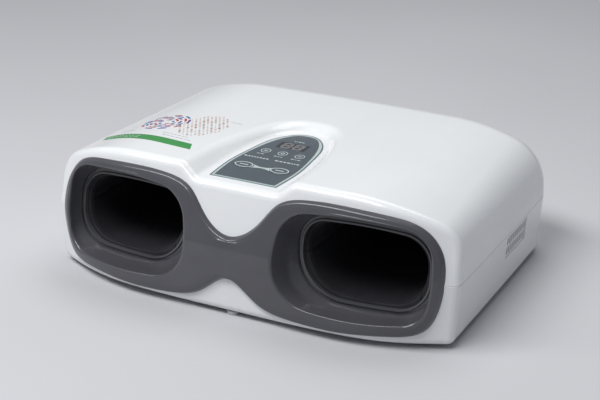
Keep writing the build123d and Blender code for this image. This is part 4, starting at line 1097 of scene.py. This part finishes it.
def lens_finish():
    """Unlit lenses: tinted like the panel, with faint rings moulded behind them."""
    f = Finish("lens_grey")
    x, y, _ = f.axes()
    rings = wave((x * x + y * y).math("SQRT") * 6000.0)
    return f.done(
        rings * 0.4, (0.085, 0.105, 0.120), (0.11, 0.13, 0.145), rings * 0.05 + 0.2,
        f.bump(rings, 0.2, 0.00001), Coat_Weight=0.5, Coat_Roughness=0.05,
    )


plungers = [f"valve_plunger_{n}" for n in (1, 2, 3, 4)]
for pieces, *look in (
    (["casing_screws", "chamber_screws", "board_screws"],
     "screw_steel", (0.42, 0.42, 0.43), (0.28, 0.28, 0.29), 0.30),
    (["pump_motor", "pump_rotor"],
     "motor_steel", (0.50, 0.50, 0.51), (0.34, 0.34, 0.35), 0.34, (0.05, 1.0, 1.0)),
    (plungers, "plunger_steel", (0.55, 0.55, 0.56), (0.4, 0.4, 0.41), 0.22),
):
    dress(pieces, steel(*look))
dress(["control_board", "main_board"], solder_mask())
dress(["valve_coils"], wound_copper())
hoses = [f"{side}_{half}_cell_hose" for side in ("right", "left") for half in ("upper", "lower")]
for pieces, *look in (
    (["corner_feet", "front_foot"], "foot_grey", (0.50, 0.50, 0.51), (0.40, 0.40, 0.41), 0.42),
    (["rubber_mounts"], "mount_black", (0.035, 0.035, 0.037), (0.055, 0.055, 0.056), 0.6),
    ([*hoses, "pump_hose"], "hose_silicone", (0.62, 0.62, 0.60), (0.50, 0.50, 0.48), 0.35),
):
    dress(pieces, rubbery(*look))
dress(["indicator_lenses"], lens_finish())
print("materials", len(bpy.data.materials))

# %% [markdown]
# ## Label
# A printed label lies on the left of the top: a green band, a ring motif beside a field of dots,
# and lines of text as plain bars. Each ink is one thin sheet. It is drawn flat over X and Y,
# laid onto the casing by projection, and given the thickness of print.

# %% Printed shapes on the top
LABEL_LIFT, WORDS_LIFT, INK_THICK = 0.06, 0.12, 0.04
BAND_FRONT = np.array([(-183.8, -85.4), (-70.7, -99.9)])
BAND_BACK = np.array([(-189.5, -69.4), (-77.6, -85.0)])
BAND_STRIPS, BAND_POINTS = 4, 40
LABEL_TURN = -0.13
RINGS_AT, DOTS_AT = np.array([-141.0, -32.0]), np.array([-97.0, -31.0])
RING_WIDE, RING_PITCH = 2.5, 4.2
DOT_PITCH, DOT_FIELD = (4.6, 4.0), (24.0, 33.0)
TEXT_LINES = (-178.0, -58.0, 16.0), (-124.0, -66.0, 30.0), (-121.0, -72.5, 34.0), (-78.0, -8.0, 14.0)
DRAWN_AT = 160.0


def drawn(lines, closed):
    """Quads through flat lines with the same number of points, drawn over the casing."""
    points = np.dstack([lines, np.full(np.shape(lines)[:2], DRAWN_AT)])
    return points.reshape(-1, 3), grid_faces(*points.shape[:2], closed)


def flat_patch(outline):
    """The inside of a closed outline, drawn in to its middle."""
    middle = outline.mean(0)
    return drawn([middle + (outline - middle) * share for share in (1e-3, 0.5, 1.0)], True)


def laid_ink(name, shapes, lift=LABEL_LIFT):
    """One ink: its flat shapes dropped onto the upper casing, then thickened."""
    piece = joined(name, shapes, 0.0000005)
    modify(
        piece, "SHRINKWRAP", target=nodes["upper_casing"], wrap_method="PROJECT", use_project_z=True,
        use_negative_direction=True, use_positive_direction=False, offset=lift / 1000,
    )
    modify(piece, "SOLIDIFY", thickness=INK_THICK / 1000, offset=0.0)
    piece.data.shade_flat()
    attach(piece, "casing")
    return piece


def arc_strip(centre, radius, start, stop):
    """Part of a ring, from one angle to another."""
    rays = ray(np.linspace(start, stop, 18))
    return drawn([centre + rays * radius, centre + rays * (radius + RING_WIDE)], False)


def between(first, second, share):
    """A share of the way from one point to another, or so for whole lines."""
    return first * (1 - share) + second * share


rng = np.random.default_rng(11)
across_band = np.linspace(0, 1, BAND_POINTS)[:, None]
front_edge, back_edge = (between(line[0], line[1], across_band) for line in (BAND_FRONT, BAND_BACK))
steps = np.linspace(0, 1, BAND_STRIPS + 1)
green = laid_ink("label_green", [
    drawn([between(front_edge, back_edge, low), between(front_edge, back_edge, high)], False)
    for low, high in zip(steps[:-1], steps[1:])
])

ring_inks = {"label_blue": [], "label_red": [], "label_violet": []}
names = list(ring_inks)
for k, radius in enumerate(np.arange(6.0, 27.0, RING_PITCH)):
    gaps = 5 + k
    for j in range(gaps):
        start = 2 * pi * j / gaps + 0.35 * k
        stop = start + 2 * pi / gaps * rng.uniform(0.45, 0.8)
        ring_inks[names[(k + j) % 3]].append(arc_strip(RINGS_AT, radius, start, stop))
ring_pieces = [laid_ink(name, shapes) for name, shapes in ring_inks.items()]

cell_x, cell_y = np.meshgrid(np.arange(-7, 8), np.arange(-9, 10))
field = np.stack([(cell_x + (cell_y % 2) * 0.5).ravel() * DOT_PITCH[0], cell_y.ravel() * DOT_PITCH[1]], -1)
field = field[np.hypot(*(field / DOT_FIELD).T) < 1]
size = rng.uniform(0.7, 1.5, len(field))
tan_dots, brown_dots = (
    laid_ink(name, [flat_patch(oval(DOTS_AT + at, r, r, 10)) for at, r in zip(field[n::2], size[n::2])])
    for n, name in enumerate(("label_tan", "label_brown"))
)

lines = []
for start, y, length in TEXT_LINES:
    for x, word in words(start, start + length, 2.0, 5.5, 1.0):
        spot = (x + word / 2, y + LABEL_TURN * (x - start))
        lines.append(flat_patch(bar(spot, word, 1.1, LABEL_TURN)))
grey_lines = laid_ink("label_lines", lines)
pale_lines = []
for row in (0.36, 0.64):
    left_end, right_end = between(BAND_FRONT, BAND_BACK, row)
    for x, word in words(0.06, 0.42, 0.015, 0.04, 0.012):
        pale_lines.append(flat_patch(bar(between(left_end, right_end, x), word * 100, 1.6, LABEL_TURN)))
band_words = laid_ink("label_band_words", pale_lines, WORDS_LIFT)
print("label pieces", 5 + len(ring_pieces))

# %% Label inks
INK_GLOSS, INK_COAT = 0.3, 0.4

for piece, name, colour, dark in (
    (green, "green", (0.030, 0.26, 0.050), (0.045, 0.32, 0.070)),
    (ring_pieces[0], "blue", (0.05, 0.13, 0.36), (0.065, 0.169, 0.468)),
    (ring_pieces[1], "red", (0.42, 0.05, 0.04), (0.546, 0.065, 0.052)),
    (ring_pieces[2], "violet", (0.16, 0.07, 0.28), (0.208, 0.091, 0.364)),
    (tan_dots, "tan", (0.58, 0.36, 0.26), (0.66, 0.45, 0.34)),
    (brown_dots, "brown", (0.28, 0.14, 0.08), (0.36, 0.20, 0.13)),
    (grey_lines, "grey", (0.36, 0.37, 0.40), (0.45, 0.46, 0.49)),
    (band_words, "pale", (0.50, 0.66, 0.50), (0.60, 0.74, 0.60)),
):
    dress([piece], printed(f"ink_{name}", colour, dark, INK_GLOSS, INK_COAT))

# %% [markdown]
# ## Studio
# The object stands on pale paper that runs on past the picture. One large softbox hangs over
# its front, so the tops and the funnel floors are bright and the face stays dark. A small one
# beside it draws the edges of the left mouth by its reflection. A weak softbox behind the object
# and an even room light open up the shadows.

# %% Floor and lights
FLOOR_HALF = 6
ROOM_COLOUR, ROOM_LIGHT = (0.90, 0.93, 1.0, 1.0), 0.24
floor_corners = np.array([(-1, -1, 0), (1, -1, 0), (1, 1, 0), (-1, 1, 0)]) * FLOOR_HALF
floor = to_mesh("floor", floor_corners, np.array([[0, 1, 2, 3]]))


def paper():
    """Matt paper: very slow clouds in the tone and a fine tooth in the surface."""
    f = Finish("floor_paper")
    clouds = f.noise(1.3, 2.0).step(0.3, 0.7)
    tooth = f.noise(700.0, 2.0, 0.6)
    tones = (0.58, 0.58, 0.60), (0.54, 0.54, 0.56)
    return f.done(clouds, *tones, tooth * 0.1 + 0.75, f.bump(tooth, 0.2, 0.00005))


dress([floor], paper())

world = bpy.data.worlds.new("room")
world.use_nodes = True
background = world.node_tree.nodes["Background"]
background.inputs[0].default_value, background.inputs[1].default_value = ROOM_COLOUR, ROOM_LIGHT
bpy.context.scene.world = world


def softbox(name, place, aim, size, power):
    """A rectangular lamp that faces the point aimed at."""
    data = bpy.data.lights.new(name, "AREA")
    data.shape = "RECTANGLE"
    data.size, data.size_y = size
    data.energy = power
    placed(name, data, place, Vector(aim) - Vector(place))


softbox("over_the_front", (-0.42, -1.00, 1.80), (0, 0, 0.1), (1.6, 0.6), 34)
softbox("over_the_back", (0.1, 0.6, 1.8), (0, 0, 0.1), (1.4, 0.8), 10)
softbox("over_the_left", (-1.50, -0.95, 1.70), (0, -0.1, 0.08), (0.5, 0.6), 5)
bpy.context.scene.view_settings.view_transform = "Standard"
